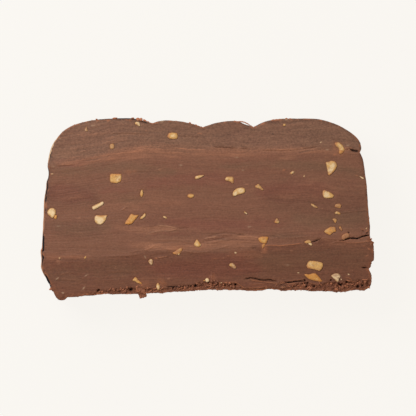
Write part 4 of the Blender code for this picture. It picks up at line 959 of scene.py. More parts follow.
def face_spot(x, y, rim_gap):
    """Height over the thickness, and the marks, of a point of the cut face that is rim_gap from its edge."""
    v = drag_place(x, y)
    height = 0.16 * rough(x * 0.022, v * 0.16, 0.4) + 0.045 * rough(x * 0.05, v * 1.0, 3.0)
    height += 0.05 * rough(x * 0.3, y * 0.45, 8.0)
    loose = crumbled(x, y)
    ragged = torn_side(Vector((x, y))) * smooth_step((1.5 - rim_gap) / 1.2) * (1 - loose)
    # Painted shade in the deepest crags of the band and in the listed pits; painted highlight along its ridge crests.
    painted_shade = ridge = 0.0
    rugged = loose * (0.35 + 0.65 * smooth_step((y - base_line(x) - 0.7) / 0.5))
    if loose + ragged > 0:
        crags = 0.6 * rough(x * 0.85, y * 1.1, 2.2) + 0.42 * rough(x * 2.1, y * 2.6, 6.6)
        crags += 0.22 * rough(x * 4.4, y * 4.8, 1.3)
        height -= loose * CRUMBLED_DEPTH + rugged * crags + ragged * 0.5 * max(0.0, crags)
        painted_shade = rugged * 0.6 * smooth_step((crags - 0.32) / 0.3) + ragged * 0.6 * smooth_step((crags - 0.25) / 0.4)
        ridge = smooth_step(1 - abs(rough(x * 0.55, y * 1.0, 4.0)) / 0.085)
        ridge = max(ridge, smooth_step(1 - abs(rough(x * 1.3, y * 2.0, 8.0)) / 0.12)) * rugged
        height += 0.22 * ridge
    for px, py, radius in PITS:
        share = math.dist((x, y), (px, py)) / radius
        if share < 1:
            height -= PIT_DEPTH * (1 - share**2)
            painted_shade = max(painted_shade, smooth_step(1.5 - 1.5 * share))
    fresh = 0.15 + 0.45 * (x > 50) * smooth_step((19 - y) / 4)
    burr = smooth_step((0.5 - rim_gap) / 0.4) * smooth_step(fresh + 2.0 * rough(x * 0.7, y * 0.7, 2.0))
    burr = max(burr, ragged * 0.8 * smooth_step(2.2 * rough(x * 1.1, y * 1.1, 31.0)))
    height += 0.10 * burr
    # Painted highlight along the ridge crests.
    burr = max(burr, ridge * 0.75 * smooth_step(0.6 + 1.6 * rough(x * 0.5, y * 0.8, 14.0)))
    lip = crumbled(x, y + 0.25) * (1 - crumbled(x, y - 0.2)) * (loose < 0.9)
    burr = max(burr, lip * smooth_step(0.5 + 1.8 * rough(x * 0.4, 0.0, 17.0)))
    joint = station(BASE_JOINT, x) + 0.2 * rough(x * 0.11, 0.0, 1.0)
    blur = 0.9 + 1.6 * smooth_step((-12 - x) / 20)
    marks = {
        "top_layer": smooth_step((v - TOP_JOINT + 1.5) / 3.0),
        "base_layer": smooth_step((joint - y) / blur + 0.5),
        "rim": smooth_step(1.15 - rim_gap / 0.9),
        "torn": max(loose * 0.85, ragged * 0.7),
        "painted_shade": painted_shade,
        "burr": burr * 0.8,
        "flake": 0.0,
        **{mark: ribbons(table, x, y) for mark, table in RIBBONS.items()},
    }
    add_smudges(marks, x, y)
    return height, marks


def beside(points, offset, tapers):
    """The points of a line moved sideways, less towards its ends."""
    moved = []
    for i, (here, taper) in enumerate(zip(points, tapers)):
        along = points[min(i + 1, len(points) - 1)] - points[max(i - 1, 0)]
        moved.append(here + Vector((-along.y, along.x)).normalized() * offset * taper)
    return moved


def pointing(turn):
    """The direction that is turned so many degrees from +X."""
    return Vector((math.cos(math.radians(turn)), math.sin(math.radians(turn))))


def dab_line(x, y, length, width, turn, tone, strength):
    """A dab as a short shallow lip."""
    reach = pointing(turn) * max(0.25, length / 2)
    path = [(x - reach.x, y - reach.y), (x + reach.x, y + reach.y)]
    return line(path, width / 2, -DAB_HEIGHT, fade=(0.3 * length, 0.3 * length), **{tone: strength})


def line_rows(path, half_width, depth, fade, tones):
    """A groove or a lip as rows of (point, drop, marks), side by side."""
    middle = spread(smooth_through(path), LINE_STEP) + [Vector(path[-1])]
    count = len(middle)
    start, end = fade
    strengths = [min(1.0, (i + 0.5) * LINE_STEP / start, (count - i - 0.5) * LINE_STEP / end) for i in range(count)]
    tapers = [max(0.25, strength) for strength in strengths]
    rows = []
    for across, drop in ((0.0, 1.0), (0.55, 0.7), (-0.55, 0.7), (1.0, 0.0), (-1.0, 0.0)):
        row = []
        for p, strength in zip(beside(middle, across * half_width, tapers), strengths):
            here = p + Vector((0.0, 0.12 * rough(p.x * 1.1, p.y * 1.1, 3.0)))
            marks = {name: tone * drop * strength for name, tone in tones.items()}
            row.append((here, depth * drop * strength, marks))
        rows.append(row)
    return rows


def face_fill(rim_tree, kept_clear, settings):
    """Points that fill the cut face: rows along the drag, close together in the crumbled band."""
    draw = random.Random(SEED)
    along, across, band = settings.face_along / MM, settings.face_across / MM, settings.band_step / MM
    left, y, right, high = FACE_SPAN
    points = []
    while y < high:
        x = left + along * draw.random()
        while x < right:
            points.append(Vector((x + draw.uniform(-0.3, 0.3) * along, y + draw.uniform(-0.3, 0.3) * across)))
            x += along
        y += across
    dense = []
    x, right = BAND_SPAN
    while x < right:
        y = base_line(x)
        top = y + station(CRUMBLED_BAND, x) + BAND_MARGIN
        while y < top:
            dense.append(Vector((x + draw.uniform(-0.3, 0.3) * band, y + draw.uniform(-0.3, 0.3) * band)))
            y += band
        x += band
    spaced = [
        p for p in points
        if p.y > base_line(p.x) + station(CRUMBLED_BAND, p.x) + BAND_MARGIN or p.x < BAND_SPAN[0]
    ]
    return [
        p for group, gap in ((spaced, 0.3), (dense, 0.17)) for p in group
        if gap_to(rim_tree, p) > gap and gap_to(kept_clear, p) > gap * 0.8
    ]


def socket_rows():
    """Rings round each piece of nut where the gianduja dips to meet it, as (point, drop, dark): the dark is painted
    shadow, strongest on the lower right side, away from the key light.
    """
    rows = []
    for corners, _, _, veil in KERNELS:
        edge = kernel_outline(corners, 0.3)
        for p, outward in zip(edge, normals_of(edge)):
            # Painted shadow on the side of each piece away from the key light, where the dip is also deeper.
            shadowed_side = (1 - veil) * smooth_step(0.45 + 0.5 * outward.dot(Vector((0.6, -0.8))))
            rows.append((p - outward * 0.1, 0.12 + 0.12 * shadowed_side, 0.06 + 0.3 * shadowed_side))
            rows.append((p + outward * 0.25, 0.04 * shadowed_side, 0.06 * shadowed_side))
            rows.append((p + outward * 0.6, 0.0, 0.0))
    return rows


def front_face(cloud, loop, settings):
    """The relief of the front cut face, sewn to the loop of vertices round it."""
    rim = [cloud.spots[i].xy for i in loop]
    rim_tree = tree_of(rim)
    flat = list(rim)
    edges = ring_edges(rim)
    extra = {}
    for made in LINES + [dab_line(*dab) for dab in DABS]:
        for row in line_rows(*made):
            last = None
            for p, drop, tones in row:
                if gap_to(rim_tree, p) > 0.3 and inside(p, rim):
                    extra[len(flat)] = (drop, tones)
                    if last is not None:
                        edges.append((last, len(flat)))
                    last = len(flat)
                    flat.append(p)
                else:
                    last = None
    lined = tree_of(flat[len(rim):])
    for p, drop, dark in socket_rows():
        if gap_to(rim_tree, p) > 0.3 and gap_to(lined, p) > 0.15 and inside(p, rim):
            extra[len(flat)] = (drop, {"painted_shade": dark})
            flat.append(p)
    flat += face_fill(rim_tree, tree_of(flat[len(rim):]), settings)

    def vertex_at(p, origin):
        height, marks = face_spot(p.x, p.y, gap_to(rim_tree, p))
        drop, tones = extra.get(origin, (0.0, {}))
        for name, tone in tones.items():
            marks[name] = max(marks[name], tone)
        return cloud.vertex((p.x, p.y, THICKNESS + height - drop), **marks)

    fill(cloud, flat, edges, loop, vertex_at)


def back_face(cloud, loop, settings):
    """The back cut face: level, so that the slice lies flat, with shallow knife marks."""
    draw = random.Random(SEED + 1)
    rim = [cloud.spots[i].xy for i in loop]
    rim_tree = tree_of(rim)
    step = settings.back_step / MM
    flat = list(rim)
    y = -33.0
    while y < 34.0:
        x = -62.0 + step * draw.random()
        while x < 61.0:
            p = Vector((x, y + draw.uniform(-0.25, 0.25) * step))
            if gap_to(rim_tree, p) > 0.5 * step:
                flat.append(p)
            x += step
        y += step * 0.8

    def vertex_at(p, _):
        return cloud.vertex(
            (p.x, p.y, 0.10 + 0.08 * rough(p.x * 0.03, p.y * 0.4, 30.0)),
            top_layer=smooth_step((p.y - TOP_JOINT + 1.5) / 3.0), base_layer=smooth_step((-15.0 - p.y) / 0.9),
            warm=0.8 * smooth_step(3 * rough(p.x * 0.02, p.y * 0.15, 12.0) - 0.4),
        )

    fill(cloud, flat, ring_edges(rim), loop, vertex_at, reversed)


def slice_piece(settings):
    """The slice: cut faces front and back, and the walls between them."""
    cloud = Cloud("top_layer", "base_layer", "warm", "pale", "olive", "red", "torn", "painted_shade", "burr", "skin", "rim",
                  "deep", "flake")
    points = outline(settings.rim_step / MM)
    normals = normals_of(points)

    def ring(step, depth):
        found = []
        for here, outward in zip(points[::step], normals[::step]):
            spot, marks = wall_spot(here, outward, depth)
            if depth == 0:
                height, face_marks = face_spot(spot.x, spot.y, 0.0)
                spot.z += max(height, -1.0)
                marks = {**face_marks, "skin": 0.0, "torn": max(face_marks["torn"], marks["torn"] * 0.5)}
            found.append(cloud.vertex(spot, **marks))
        return found

    rim = ring(1, 0.0)
    front_face(cloud, rim, settings)
    above = rim
    for depth in FINE_RING_DEPTHS:
        below = ring(1, depth)
        sew(cloud, above, below)
        above = below
    depth = FINE_RING_DEPTHS[-1] + RING_GAP
    below = ring(2, depth)
    sew_by_halves(cloud, above, below)
    above = below
    while depth < THICKNESS:
        depth = depth + RING_GAP if depth + 1.6 * RING_GAP < THICKNESS else THICKNESS
        below = ring(2, depth)
        sew(cloud, above, below)
        above = below
    back_face(cloud, above, settings)
    mark_moulded(cloud)
    return cloud


def sew(cloud, above, below):
    """Quads between two rings of the same count."""
    for i in range(len(above)):
        j = (i + 1) % len(above)
        cloud.faces.append((above[i], below[i], below[j], above[j]))


def sew_by_halves(cloud, above, below):
    """Triangles between a ring and one with half its count."""
    count = len(below)
    for i in range(count):
        a, b, c = above[2 * i], above[2 * i + 1], above[(2 * i + 2) % len(above)]
        cloud.faces += [(a, below[i], b), (b, below[i], below[(i + 1) % count]), (b, below[(i + 1) % count], c)]


def mark_moulded(cloud):
    """Notes the faces that the mould made, which have the waxier finish."""
    skin = cloud.marks["skin"]
    for i, face in enumerate(cloud.faces):
        if sum(skin[v] for v in face) > 0.45 * len(face):
            cloud.moulded.add(i)


# ---- Hazelnut ----


def corners_at(shape, centre, length, width, turn):
    """The corners of a listed shape, set down at a place."""
    facing = Matrix.Rotation(math.radians(turn), 2)
    return [centre + facing @ Vector((cx * length / 2, cy * width / 2)) for cx, cy in KERNEL_SHAPES[shape]]


def kernel_outline(corners, step):
    """The outline of a piece of nut, anticlockwise, with its corners slightly rounded."""
    loop = spread([*corners, corners[0]], step)
    for _ in range(2 if step < 0.25 else 1):
        loop = [(loop[i - 1] + 2 * p + loop[(i + 1) % len(loop)]) / 4 for i, p in enumerate(loop)]
    edge = []
    for p, outward in zip(loop, normals_of(loop)):
        wobble = 0.05 + 0.06 * rough(p.x * 2.2, p.y * 2.2, 1.0) + 0.04 * rough(p.x * 5, p.y * 5, 2.0)
        edge.append(p + outward * wobble)
    return edge


def middle_and_reach(corners):
    """The middle of a piece of nut, and how far its outline reaches from there."""
    edge = kernel_outline(corners, 0.3)
    middle = sum(edge, Vector((0.0, 0.0))) / len(edge)
    return middle, max((p - middle).length for p in edge)


def shaken(draw, reach):
    """A small random move."""
    return Vector((draw.uniform(-reach, reach), draw.uniform(-reach, reach)))


def kernel_cap(cloud, kernel, floor, proud, draw):
    """One piece of nut: a cut top with a broken rim, and sides that go down into the gianduja."""
    corners, tone, toast, veil = kernel
    centre, reach = middle_and_reach(corners)
    edge = kernel_outline(corners, 0.2)
    edge_tree = tree_of(edge)
    flat = list(edge)
    rows = int(2 * reach / KERNEL_STEP) + 1
    for j in range(rows):
        for i in range(rows):
            p = centre + Vector((i + 0.5 * (j % 2), j)) * KERNEL_STEP - Vector((reach, reach)) + shaken(draw, 0.05)
            if gap_to(edge_tree, p) > 0.13:
                flat.append(p)
    tilt = shaken(draw, 0.06)
    side = pointing(toast or 0)
    farthest = max(side.dot(p - centre) for p in edge)
    rim = {}

    def vertex_at(p, origin):
        away = p - centre
        gap = gap_to(edge_tree, p)
        grain = 0.05 * rough(p.x * 1.4, p.y * 1.4, 3.0) + 0.035 * rough(p.x * 3.6, p.y * 3.6, 5.0)
        height = floor + proud * (0.25 + 0.75 * smooth_step(gap / 0.45)) + tilt.dot(away) + grain
        browned = 0.0
        if toast is not None:
            browned = smooth_step((side.dot(away) / farthest - 0.35 + 0.4 * rough(p.x * 1.1, p.y * 1.1, 7.0)) / 0.7)
        rimmed = 1 - smooth_step(gap / min(0.4, 0.3 * reach))
        film = smooth_step((veil * 1.25 + 0.9 * rough(p.x * 0.9, p.y * 1.6, 11.0) + 0.35 * rimmed - 0.32) / 0.5)
        marks = {
            "tone": tone + 0.45 * rough(p.x * 0.55, p.y * 0.55, 13.0) + 0.2 * rough(p.x * 1.6, p.y * 1.6, 17.0)
            + 0.3 * (1 - smooth_step(gap / 0.9)) - 0.12,
            "toast": browned * 0.85,
            "film": max(film * min(1.0, 0.3 + veil * 0.75), rimmed * min(0.6, 0.25 + 0.3 * reach)),
        }
        made = cloud.vertex((p.x, p.y, height), **marks)
        if origin is not None and origin < len(edge):
            rim[origin] = made
        return made

    fill(cloud, flat, ring_edges(edge), (), vertex_at)
    top = [rim[i] for i in range(len(edge))]
    above = top
    for share, drop in ((1.0, 0.25), (0.85, KERNEL_SINK)):
        below = []
        for p, v in zip(edge, top):
            spot = centre + (p - centre) * share
            kept = {name: values[v] for name, values in cloud.marks.items()}
            below.append(cloud.vertex((spot.x, spot.y, floor - drop), **kept))
        sew(cloud, above, below)
        above = below
    cloud.faces.append(above[::-1])


def face_reader():
    """A function that gives the height of the cut face at x, y, without its lines."""
    rim_tree = tree_of(outline(0.5))
    return lambda x, y: THICKNESS + face_spot(x, y, gap_to(rim_tree, (x, y)))[0]


def hazelnut_cloud(settings):
    """All the listed pieces of hazelnut, and those in the back face."""
    cloud = Cloud("tone", "toast", "film")
    height_at = face_reader()
    draw = random.Random(SEED + 2)
    for kernel in KERNELS:
        floor = max(height_at(*middle_and_reach(kernel[0])[0]), THICKNESS - 0.45)
        proud = settings.proud / MM * draw.uniform(0.8, 1.3)
        kernel_cap(cloud, kernel, floor, proud, draw)
    back = Cloud("tone", "toast", "film")
    for kernel in back_kernels(draw):
        kernel_cap(back, kernel, 0.0, 0.0, draw)
    first = len(cloud.spots)
    for i, spot in enumerate(back.spots):
        level = max(0.0, -spot.z) if spot.z < -0.2 else 0.0
        cloud.vertex((spot.x, spot.y, level), **{name: values[i] for name, values in back.marks.items()})
    cloud.faces += [[first + i for i in face[::-1]] for face in back.faces]
    return cloud


def back_kernels(draw):
    """Pieces of nut in the back face, placed by chance, clear of each other and of the edge."""
    rim_tree = tree_of(outline(0.5))
    loop = outline(2.0)
    found = []
    shapes = sorted(KERNEL_SHAPES)
    middles = []
    while len(found) < BACK_KERNELS:
        p = Vector((draw.uniform(-58, 58), draw.uniform(-29, 31)))
        long = draw.choice((1.8, 2.4, 3.2, 4.2, 5.0))
        clear = all((p - other).length > 5.5 for other in middles)
        if clear and inside(p, loop) and gap_to(rim_tree, p) > 4.5:
            wide = long * draw.uniform(0.5, 0.8)
            turn = draw.uniform(0, 360)
            corners = corners_at(draw.choice(shapes), p, long, wide, turn)
            found.append((corners, draw.random(), draw.uniform(0, 360), 0.2))
            middles.append(p)
    return found


def fleck_cloud():
    """Specks of nut: low domes pressed into the cut face."""
    cloud = Cloud("tone", "toast", "film")
    height_at = face_reader()
    draw = random.Random(SEED + 3)
    for x, y, size, tone, veil in FLECKS:
        floor = height_at(x, y)
        stretch = draw.uniform(0.55, 0.9)
        turn = draw.uniform(0, math.pi)
        lump(cloud, (x, y, floor - size * 0.06), (size / 2, size / 2 * stretch, size * 0.22), turn, draw, 2,
             tone=tone, film=veil)
    return cloud


# ---- Crumbs ----


def ball(detail):
    """Vertices and faces of a unit icosphere."""
    shape = bmesh.new()
    bmesh.ops.create_icosphere(shape, subdivisions=detail, radius=1.0)
    found = [v.co.copy() for v in shape.verts], [[v.index for v in f.verts] for f in shape.faces]
    shape.free()
    return found


BALLS = {detail: ball(detail) for detail in (2, 3)}


def lump(cloud, centre, half_sizes, turn, draw, detail, **marks):
    """One uneven lump."""
    spots, faces = BALLS[detail]
    seed = Vector((draw.uniform(-50, 50), draw.uniform(-50, 50), draw.uniform(-50, 50)))
    facing = Euler((draw.uniform(-0.35, 0.35), draw.uniform(-0.35, 0.35), turn)).to_matrix()
    first = len(cloud.spots)
    for p in spots:
        swell = 1 + 0.38 * noise.noise(p * 1.1 + seed) + 0.16 * noise.noise(p * 2.7 + seed)
        local = Vector((p.x * half_sizes[0], p.y * half_sizes[1], p.z * half_sizes[2])) * swell
        cloud.vertex(Vector(centre) + facing @ local, **marks)
    cloud.faces += [[first + i for i in face] for face in faces]


def ribbon_strip(cloud, path, width, thickness, **marks):
    """A thin strip along points of (x, y, z), thinner at its ends."""
    rings = []
    for i, here in enumerate(path):
        along = (path[min(i + 1, len(path) - 1)] - path[max(i - 1, 0)]).normalized()
        aside = along.cross(Vector((0, 0, 1)))
        aside = aside.normalized() if aside.length > 0.05 else Vector((0, 1, 0))
        up = aside.cross(along)
        share = math.sin(math.pi * (i + 0.6) / (len(path) + 0.2)) ** 0.5
        ring = []
        for k in range(8):
            angle = 2 * math.pi * k / 8
            p = here + aside * (width / 2 * share * math.cos(angle)) + up * (thickness / 2 * share * math.sin(angle))
            p += Vector((rough(p.x * 3, p.y * 3, p.z * 3), rough(p.y * 3, p.z * 3, p.x * 3), 0)) * 0.08
            ring.append(cloud.vertex(p, **marks))
        rings.append(ring)
    for low, high in zip(rings, rings[1:]):
        for k in range(8):
            cloud.faces.append((low[k], low[(k + 1) % 8], high[(k + 1) % 8], high[k]))
    cloud.faces.append(rings[0][::-1])
    cloud.faces.append(rings[-1])


def band_crumbs(cloud, settings, height_at, draw):
    """Crumbs in the crumbled band, clear of its pits and of the pieces of nut."""
    low_size, high_size = settings.smallest / MM, settings.largest / MM
    pieces = [middle_and_reach(kernel[0]) for kernel in KERNELS]
    made = 0
    while made < settings.count:
        x = draw.uniform(-43, 58)
        band = station(CRUMBLED_BAND, x)
        if draw.random() > band / 4.2 + 0.05:
            continue
        y = base_line(x) + draw.uniform(0.15, band + 0.3)
        size = low_size + (high_size - low_size) * draw.random() ** 2.2
        if any(math.dist((x, y), (px, py)) < radius * 0.8 for px, py, radius in PITS) and size > 0.35:
            continue
        if any((Vector((x, y)) - middle).length < reach + 0.2 for middle, reach in pieces):
            continue
        if x < 30 and y < base_line(x) + 0.9 and draw.random() < 0.85:
            continue
        if 37.5 < x < 44 and draw.random() < 0.65:
            continue
        z = height_at(x, y) + size * 0.12
        # Painted highlight and shade of random strength on each crumb.
        lump(cloud, (x, y, z), (size * 0.62, size * draw.uniform(0.35, 0.55), size * 0.4), draw.uniform(0, math.pi),
             draw, 2, bright=draw.random() ** 1.3, shade=0.3 * draw.random())
        made += 1


def band_shreds(cloud, height_at, draw):
    """Thin curled shreds where the crumbled band is wide."""
    for _ in range(SHREDS):
        x = draw.uniform(-42, 57)
        band = station(CRUMBLED_BAND, x)
        if band < 1.5:
            continue
        y = base_line(x) + draw.uniform(0.5, band + 0.1)
        turn = draw.uniform(-0.9, 0.9)
        reach = draw.uniform(0.9, 2.2)
        lift = draw.uniform(0.1, 0.35)
        path = []
        for i in range(9):
            t = i / 8 - 0.5
            bend = 0.5 * reach * (t * t)
            px = x + reach * t * math.cos(turn) - bend * math.sin(turn)
            py = y + reach * t * math.sin(turn) + bend * math.cos(turn)
            path.append(Vector((px, py, max(height_at(px, py), THICKNESS - 1.1) + lift * (1 - 2 * abs(t)) + 0.05)))
        ribbon_strip(cloud, path, draw.uniform(0.25, 0.45), 0.2, bright=0.5 + 0.5 * draw.random(), shade=0.0)


def edge_crumbs(cloud, draw):
    """Fine crumbs on the torn edges and walls, then the listed larger ones."""
    edge_points = outline(0.5)
    for here, outward in zip(edge_points, normals_of(edge_points)):
        torn = torn_side(here)
        if draw.random() > 0.05 + (0.28 if here.x > 30 or here.y > -29 else 0.1) * torn:
            continue
        size = draw.uniform(0.25, 0.55 if torn > 0.3 else 0.38)
        depth = draw.uniform(0.1, 0.8) + (draw.random() < 0.35) * draw.uniform(0, 12)
        spot, _ = wall_spot(here, outward, depth)
        lump(cloud, spot, (size * 0.6, size * 0.45, size * 0.4), draw.uniform(0, math.pi), draw, 2,
             bright=draw.uniform(0.3, 1.0), shade=0.1)
    for x, y, length, width, turn in EDGE_CRUMBS:
        lump(cloud, (x, y, THICKNESS - 0.45), (length / 2, width / 2, 0.4), math.radians(turn), draw, 3,
             bright=1.0, shade=0.0)


def crumb_cloud(settings):
    """Crumbs and shreds along the crumbled base edge, crumbs on the other edges, and the curl."""
    # Each crumb's bright mark sets its painted highlight and its shade mark its painted shade.
    cloud = Cloud("bright", "shade")
    height_at = face_reader()
    draw = random.Random(SEED + 4)
    band_crumbs(cloud, settings, height_at, draw)
    band_shreds(cloud, height_at, draw)
    edge_crumbs(cloud, draw)
    path = [Vector((p.x, p.y, THICKNESS - 0.35)) for p in spread(smooth_through(CURL_PATH), 0.4)]
    ribbon_strip(cloud, path, CURL_THICKNESS, CURL_WIDTH, bright=0.95, shade=0.0)
    return cloud


def chip_cloud():
    """The chip that hangs out over the base edge, tipped down at its outer end."""
    cloud = Cloud("bright", "shade")
    draw = random.Random(SEED + 5)
    noise.seed_set(SEED)  # or noise_vector would differ from run to run
    shape = bmesh.new()
    bmesh.ops.create_cube(shape, size=1.0)
    bmesh.ops.subdivide_edges(shape, edges=shape.edges, cuts=9, use_grid_fill=True)
    facing = Matrix.Rotation(CHIP_TURN, 2)
    for v in shape.verts:
        p = v.co
        taper = 1 - 0.18 * (p.y < 0) * abs(p.y) * 2 * (p.x < 0)
        flat = CHIP_CENTRE + facing @ Vector((p.x * CHIP_LENGTH * taper, p.y * CHIP_REACH))
        z = THICKNESS + 0.1 + (p.z - 0.5) * CHIP_DEPTH - CHIP_DROOP * (0.5 - p.y)
        spot = Vector((flat.x, flat.y, z))
        push = noise.noise_vector(spot * 0.9) * 0.32 + noise.noise_vector(spot * 2.4) * 0.2
        edge = smooth_step((max(abs(p.x), abs(p.y)) - 0.36) / 0.14)
        crags = rough(spot.x * 1.8, spot.y * 1.8, 4.0)
        # Painted highlight on the chip's edges and raised crags, painted shade in its low crags.
        cloud.vertex(spot + push, bright=0.5 + 0.4 * crags + 0.6 * edge, shade=0.35 * smooth_step(-crags * 1.6))
    cloud.faces = [[v.index for v in f.verts] for f in shape.faces]
    shape.free()
    for _ in range(CHIP_CRUMBS):
        t = shaken(draw, 0.5)
        flat = CHIP_CENTRE + facing @ Vector((t.x * CHIP_LENGTH, t.y * CHIP_REACH))
        size = draw.uniform(0.2, 0.5)
        z = THICKNESS + 0.05 - CHIP_DROOP * (0.5 - t.y)
        lump(cloud, (flat.x, flat.y, z), (size * 0.6, size * 0.45, size * 0.4), draw.uniform(0, 3.1), draw, 2,
             bright=draw.random(), shade=0.2)
    return cloud


# ---- Shader helpers ----

CUT_SPECULAR = 0.25
MOULDED_SPECULAR = 0.10
NUT_SPECULAR = 0.42
CRUMB_SPECULAR = 0.35
CRUMB_ROUGHNESS = 0.66
FILM_COLOUR = (0.352, 0.152, 0.080)  # thin gianduja over nut


def node(tree, kind, **values):
    """A node with some of its properties set."""
    made = tree.nodes.new(kind)
    for name, value in values.items():
        setattr(made, name, value)
    return made


def plug(tree, socket, value):
    """Joins an output to a socket, or sets the socket to a plain value."""
    if isinstance(value, bpy.types.NodeSocket):
        tree.links.new(value, socket)
    elif socket.type == "RGBA":
        socket.default_value = (*value, 1.0)
    else:
        socket.default_value = value


def plug_all(tree, sockets, values):
    """Joins or sets several sockets by name."""
    for name, value in values.items():
        plug(tree, sockets[name], value)


def maths(tree, operation, *values, clamp=False):
    """A Math node's output."""
    made = node(tree, "ShaderNodeMath", operation=operation, use_clamp=clamp)
    for socket, value in zip(made.inputs, values):
        plug(tree, socket, value)
    return made.outputs[0]


def times(tree, a, b, plus=0.0, clamp=False):
    """One value times another, plus a third."""
    return maths(tree, "MULTIPLY_ADD", a, b, plus, clamp=clamp)


def weighed(tree, total, *terms):
    """A value plus each (value, weight)."""
    for value, weight in terms:
        total = times(tree, value, weight, total)
    return total


def ramp(tree, value, low, high, to_low=0.0, to_high=1.0):
    """A smooth step of a value between two limits."""
    made = node(tree, "ShaderNodeMapRange", interpolation_type="SMOOTHSTEP")
    for socket, given in zip(made.inputs, (value, low, high, to_low, to_high)):
        plug(tree, socket, given)
    return made.outputs[0]


def blend(tree, factor, a, b, mode="MIX"):
    """Two colours mixed by a factor."""
    made = node(tree, "ShaderNodeMix", data_type="RGBA", blend_type=mode, clamp_factor=True)
    for socket, value in zip((made.inputs["Factor"], made.inputs[6], made.inputs[7]), (factor, a, b)):
        plug(tree, socket, value)
    return made.outputs[2]


def layered(tree, colour, *layers):
    """A colour under layers, each of them (mask, colour) or (mask, colour, mode)."""
    for mask, *over in layers:
        colour = blend(tree, mask, colour, *over)
    return colour


def dimmed(tree, colour, factor):
    """A colour or a place times a number."""
    made = node(tree, "ShaderNodeVectorMath", operation="SCALE")
    plug(tree, made.inputs[0], colour)
    plug(tree, made.inputs["Scale"], factor)
    return made.outputs[0]


def stretched(tree, place, stretch, offset):
    """A place scaled along each axis, then moved."""
    made = node(tree, "ShaderNodeVectorMath", operation="MULTIPLY_ADD")
    for socket, value in zip(made.inputs, (place, stretch, offset)):
        plug(tree, socket, value)
    return made.outputs[0]


def noise_of(tree, place, stretch, offset=(0.0, 0.0, 0.0), detail=2.0, roughness=0.5, distortion=0.0):
    """Noise of a stretched place, centred on 0, from about -1 to 1."""
    made = node(tree, "ShaderNodeTexNoise", noise_dimensions="3D")
    plug_all(tree, made.inputs, {
        "Vector": stretched(tree, place, stretch, offset), "Scale": 1.0, "Detail": detail, "Roughness": roughness,
        "Distortion": distortion,
    })
    return times(tree, made.outputs["Fac"], 2.6, -1.3)


def cells_of(tree, place, stretch, offset=(0.0, 0.0, 0.0), feature="F1"):
    """The outputs of a Voronoi texture of a stretched place."""
    made = node(tree, "ShaderNodeTexVoronoi", feature=feature)
    plug_all(tree, made.inputs, {"Vector": stretched(tree, place, stretch, offset), "Scale": 1.0})
    return made.outputs


def mark_of(tree, name):
    """A mark of the mesh as a number."""
    return node(tree, "ShaderNodeAttribute", attribute_name=name).outputs["Fac"]


def place_in_millimetres(tree):
    """The point on the object, in millimetres."""
    return dimmed(tree, node(tree, "ShaderNodeTexCoord").outputs["Object"], 1 / MM)


def new_group(name, *outputs):
    """A shader group that takes a place: its tree, the place and the sockets that it gives out."""
    tree = bpy.data.node_groups.new(name, "ShaderNodeTree")
    tree.interface.new_socket("Place", in_out="INPUT", socket_type="NodeSocketVector")
    for output in outputs:
        kind = "NodeSocketColor" if output == "Colour" else "NodeSocketFloat"
        tree.interface.new_socket(output, in_out="OUTPUT", socket_type=kind)
    return tree, node(tree, "NodeGroupInput").outputs["Place"], node(tree, "NodeGroupOutput").inputs


def group_at(tree, place, name, make, *given):
    """The outputs of a shared group, which is made the first time that it is asked for."""
    made = node(tree, "ShaderNodeGroup", node_tree=bpy.data.node_groups.get(name) or make(name, *given))
    plug(tree, made.inputs["Place"], place)
    return made.outputs


def knife_drag(name):
    """Streaks along the knife's path, which fall towards the left end."""
    tree, place, ends = new_group(name, "Fine", "Smear", "Broad", "Blotch", "Cloud", "Height")
    split = node(tree, "ShaderNodeSeparateXYZ")
    plug(tree, split.inputs[0], place)
    fall = ramp(tree, split.outputs["X"], -24.0, -58.0)
    rise = ramp(tree, split.outputs["Y"], -8.0, 20.0)
    bent = weighed(
        tree, split.outputs["Y"], (times(tree, fall, rise), 5.5),
        (noise_of(tree, place, (0.035, 0.06, 0.03), detail=1.0), 2.2),
        (noise_of(tree, place, (0.12, 0.2, 0.1), (5.0, 1.0, 0.0)), 0.55),
    )
    along = node(tree, "ShaderNodeCombineXYZ")
    plug_all(tree, along.inputs, {"X": split.outputs["X"], "Y": bent, "Z": split.outputs["Z"]})
    fine, hair, smear, broad, blotch, cloud = (noise_of(tree, along.outputs[0], *recipe) for recipe in (
        ((0.06, 1.15, 0.4), (0.0, 0.0, 0.0), 3.0, 0.68),
        ((0.12, 2.6, 0.8), (3.0, 7.0, 0.0), 2.0, 0.6),
        ((0.20, 0.70, 0.3), (6.0, 4.0, 1.0), 3.0, 0.6, 0.5),
        ((0.020, 0.30, 0.1), (9.0, 2.0, 5.0), 2.0, 0.55),
        ((0.045, 0.11, 0.1), (1.0, 8.0, 2.0), 2.0, 0.5, 0.6),
        ((0.42, 0.85, 0.5), (2.0, 5.0, 7.0), 2.0, 0.6, 0.4),
    ))
    patches = times(tree, ramp(tree, smear, -0.35, 0.5), 0.9, 0.55)
    plug_all(tree, ends, {
        "Fine": times(tree, times(tree, hair, 0.6, fine), patches), "Smear": smear, "Broad": broad,
        "Blotch": blotch, "Cloud": cloud, "Height": weighed(tree, 0.0, (fine, 0.6), (hair, 0.35)),
    })
    return tree


def cocoa_grain(name):
    """Fine mottling, pale specks of nut meal and dark pinholes."""
    tree, place, ends = new_group(name, "Mottle", "Specks", "Pinholes")
    plug(tree, ends["Mottle"], noise_of(tree, place, (1.3, 1.7, 1.4), detail=3.0, roughness=0.7))
    for output, stretch, offset, radius, rarity in (
        ("Specks", (0.55, 0.75, 0.6), (0.0, 0.0, 0.0), 0.15, 0.66),
        ("Pinholes", (0.8, 1.0, 0.9), (4.0, 9.0, 2.0), 0.12, 0.80),
    ):
        cells = cells_of(tree, place, stretch, offset)
        chosen = node(tree, "ShaderNodeSeparateColor")
        tree.links.new(cells["Color"], chosen.inputs[0])
        dot = ramp(tree, cells["Distance"], radius, radius * 0.35)
        kept = ramp(tree, chosen.outputs[0], rarity, rarity + 0.2)
        plug(tree, ends[output], times(tree, dot, kept))
    return tree


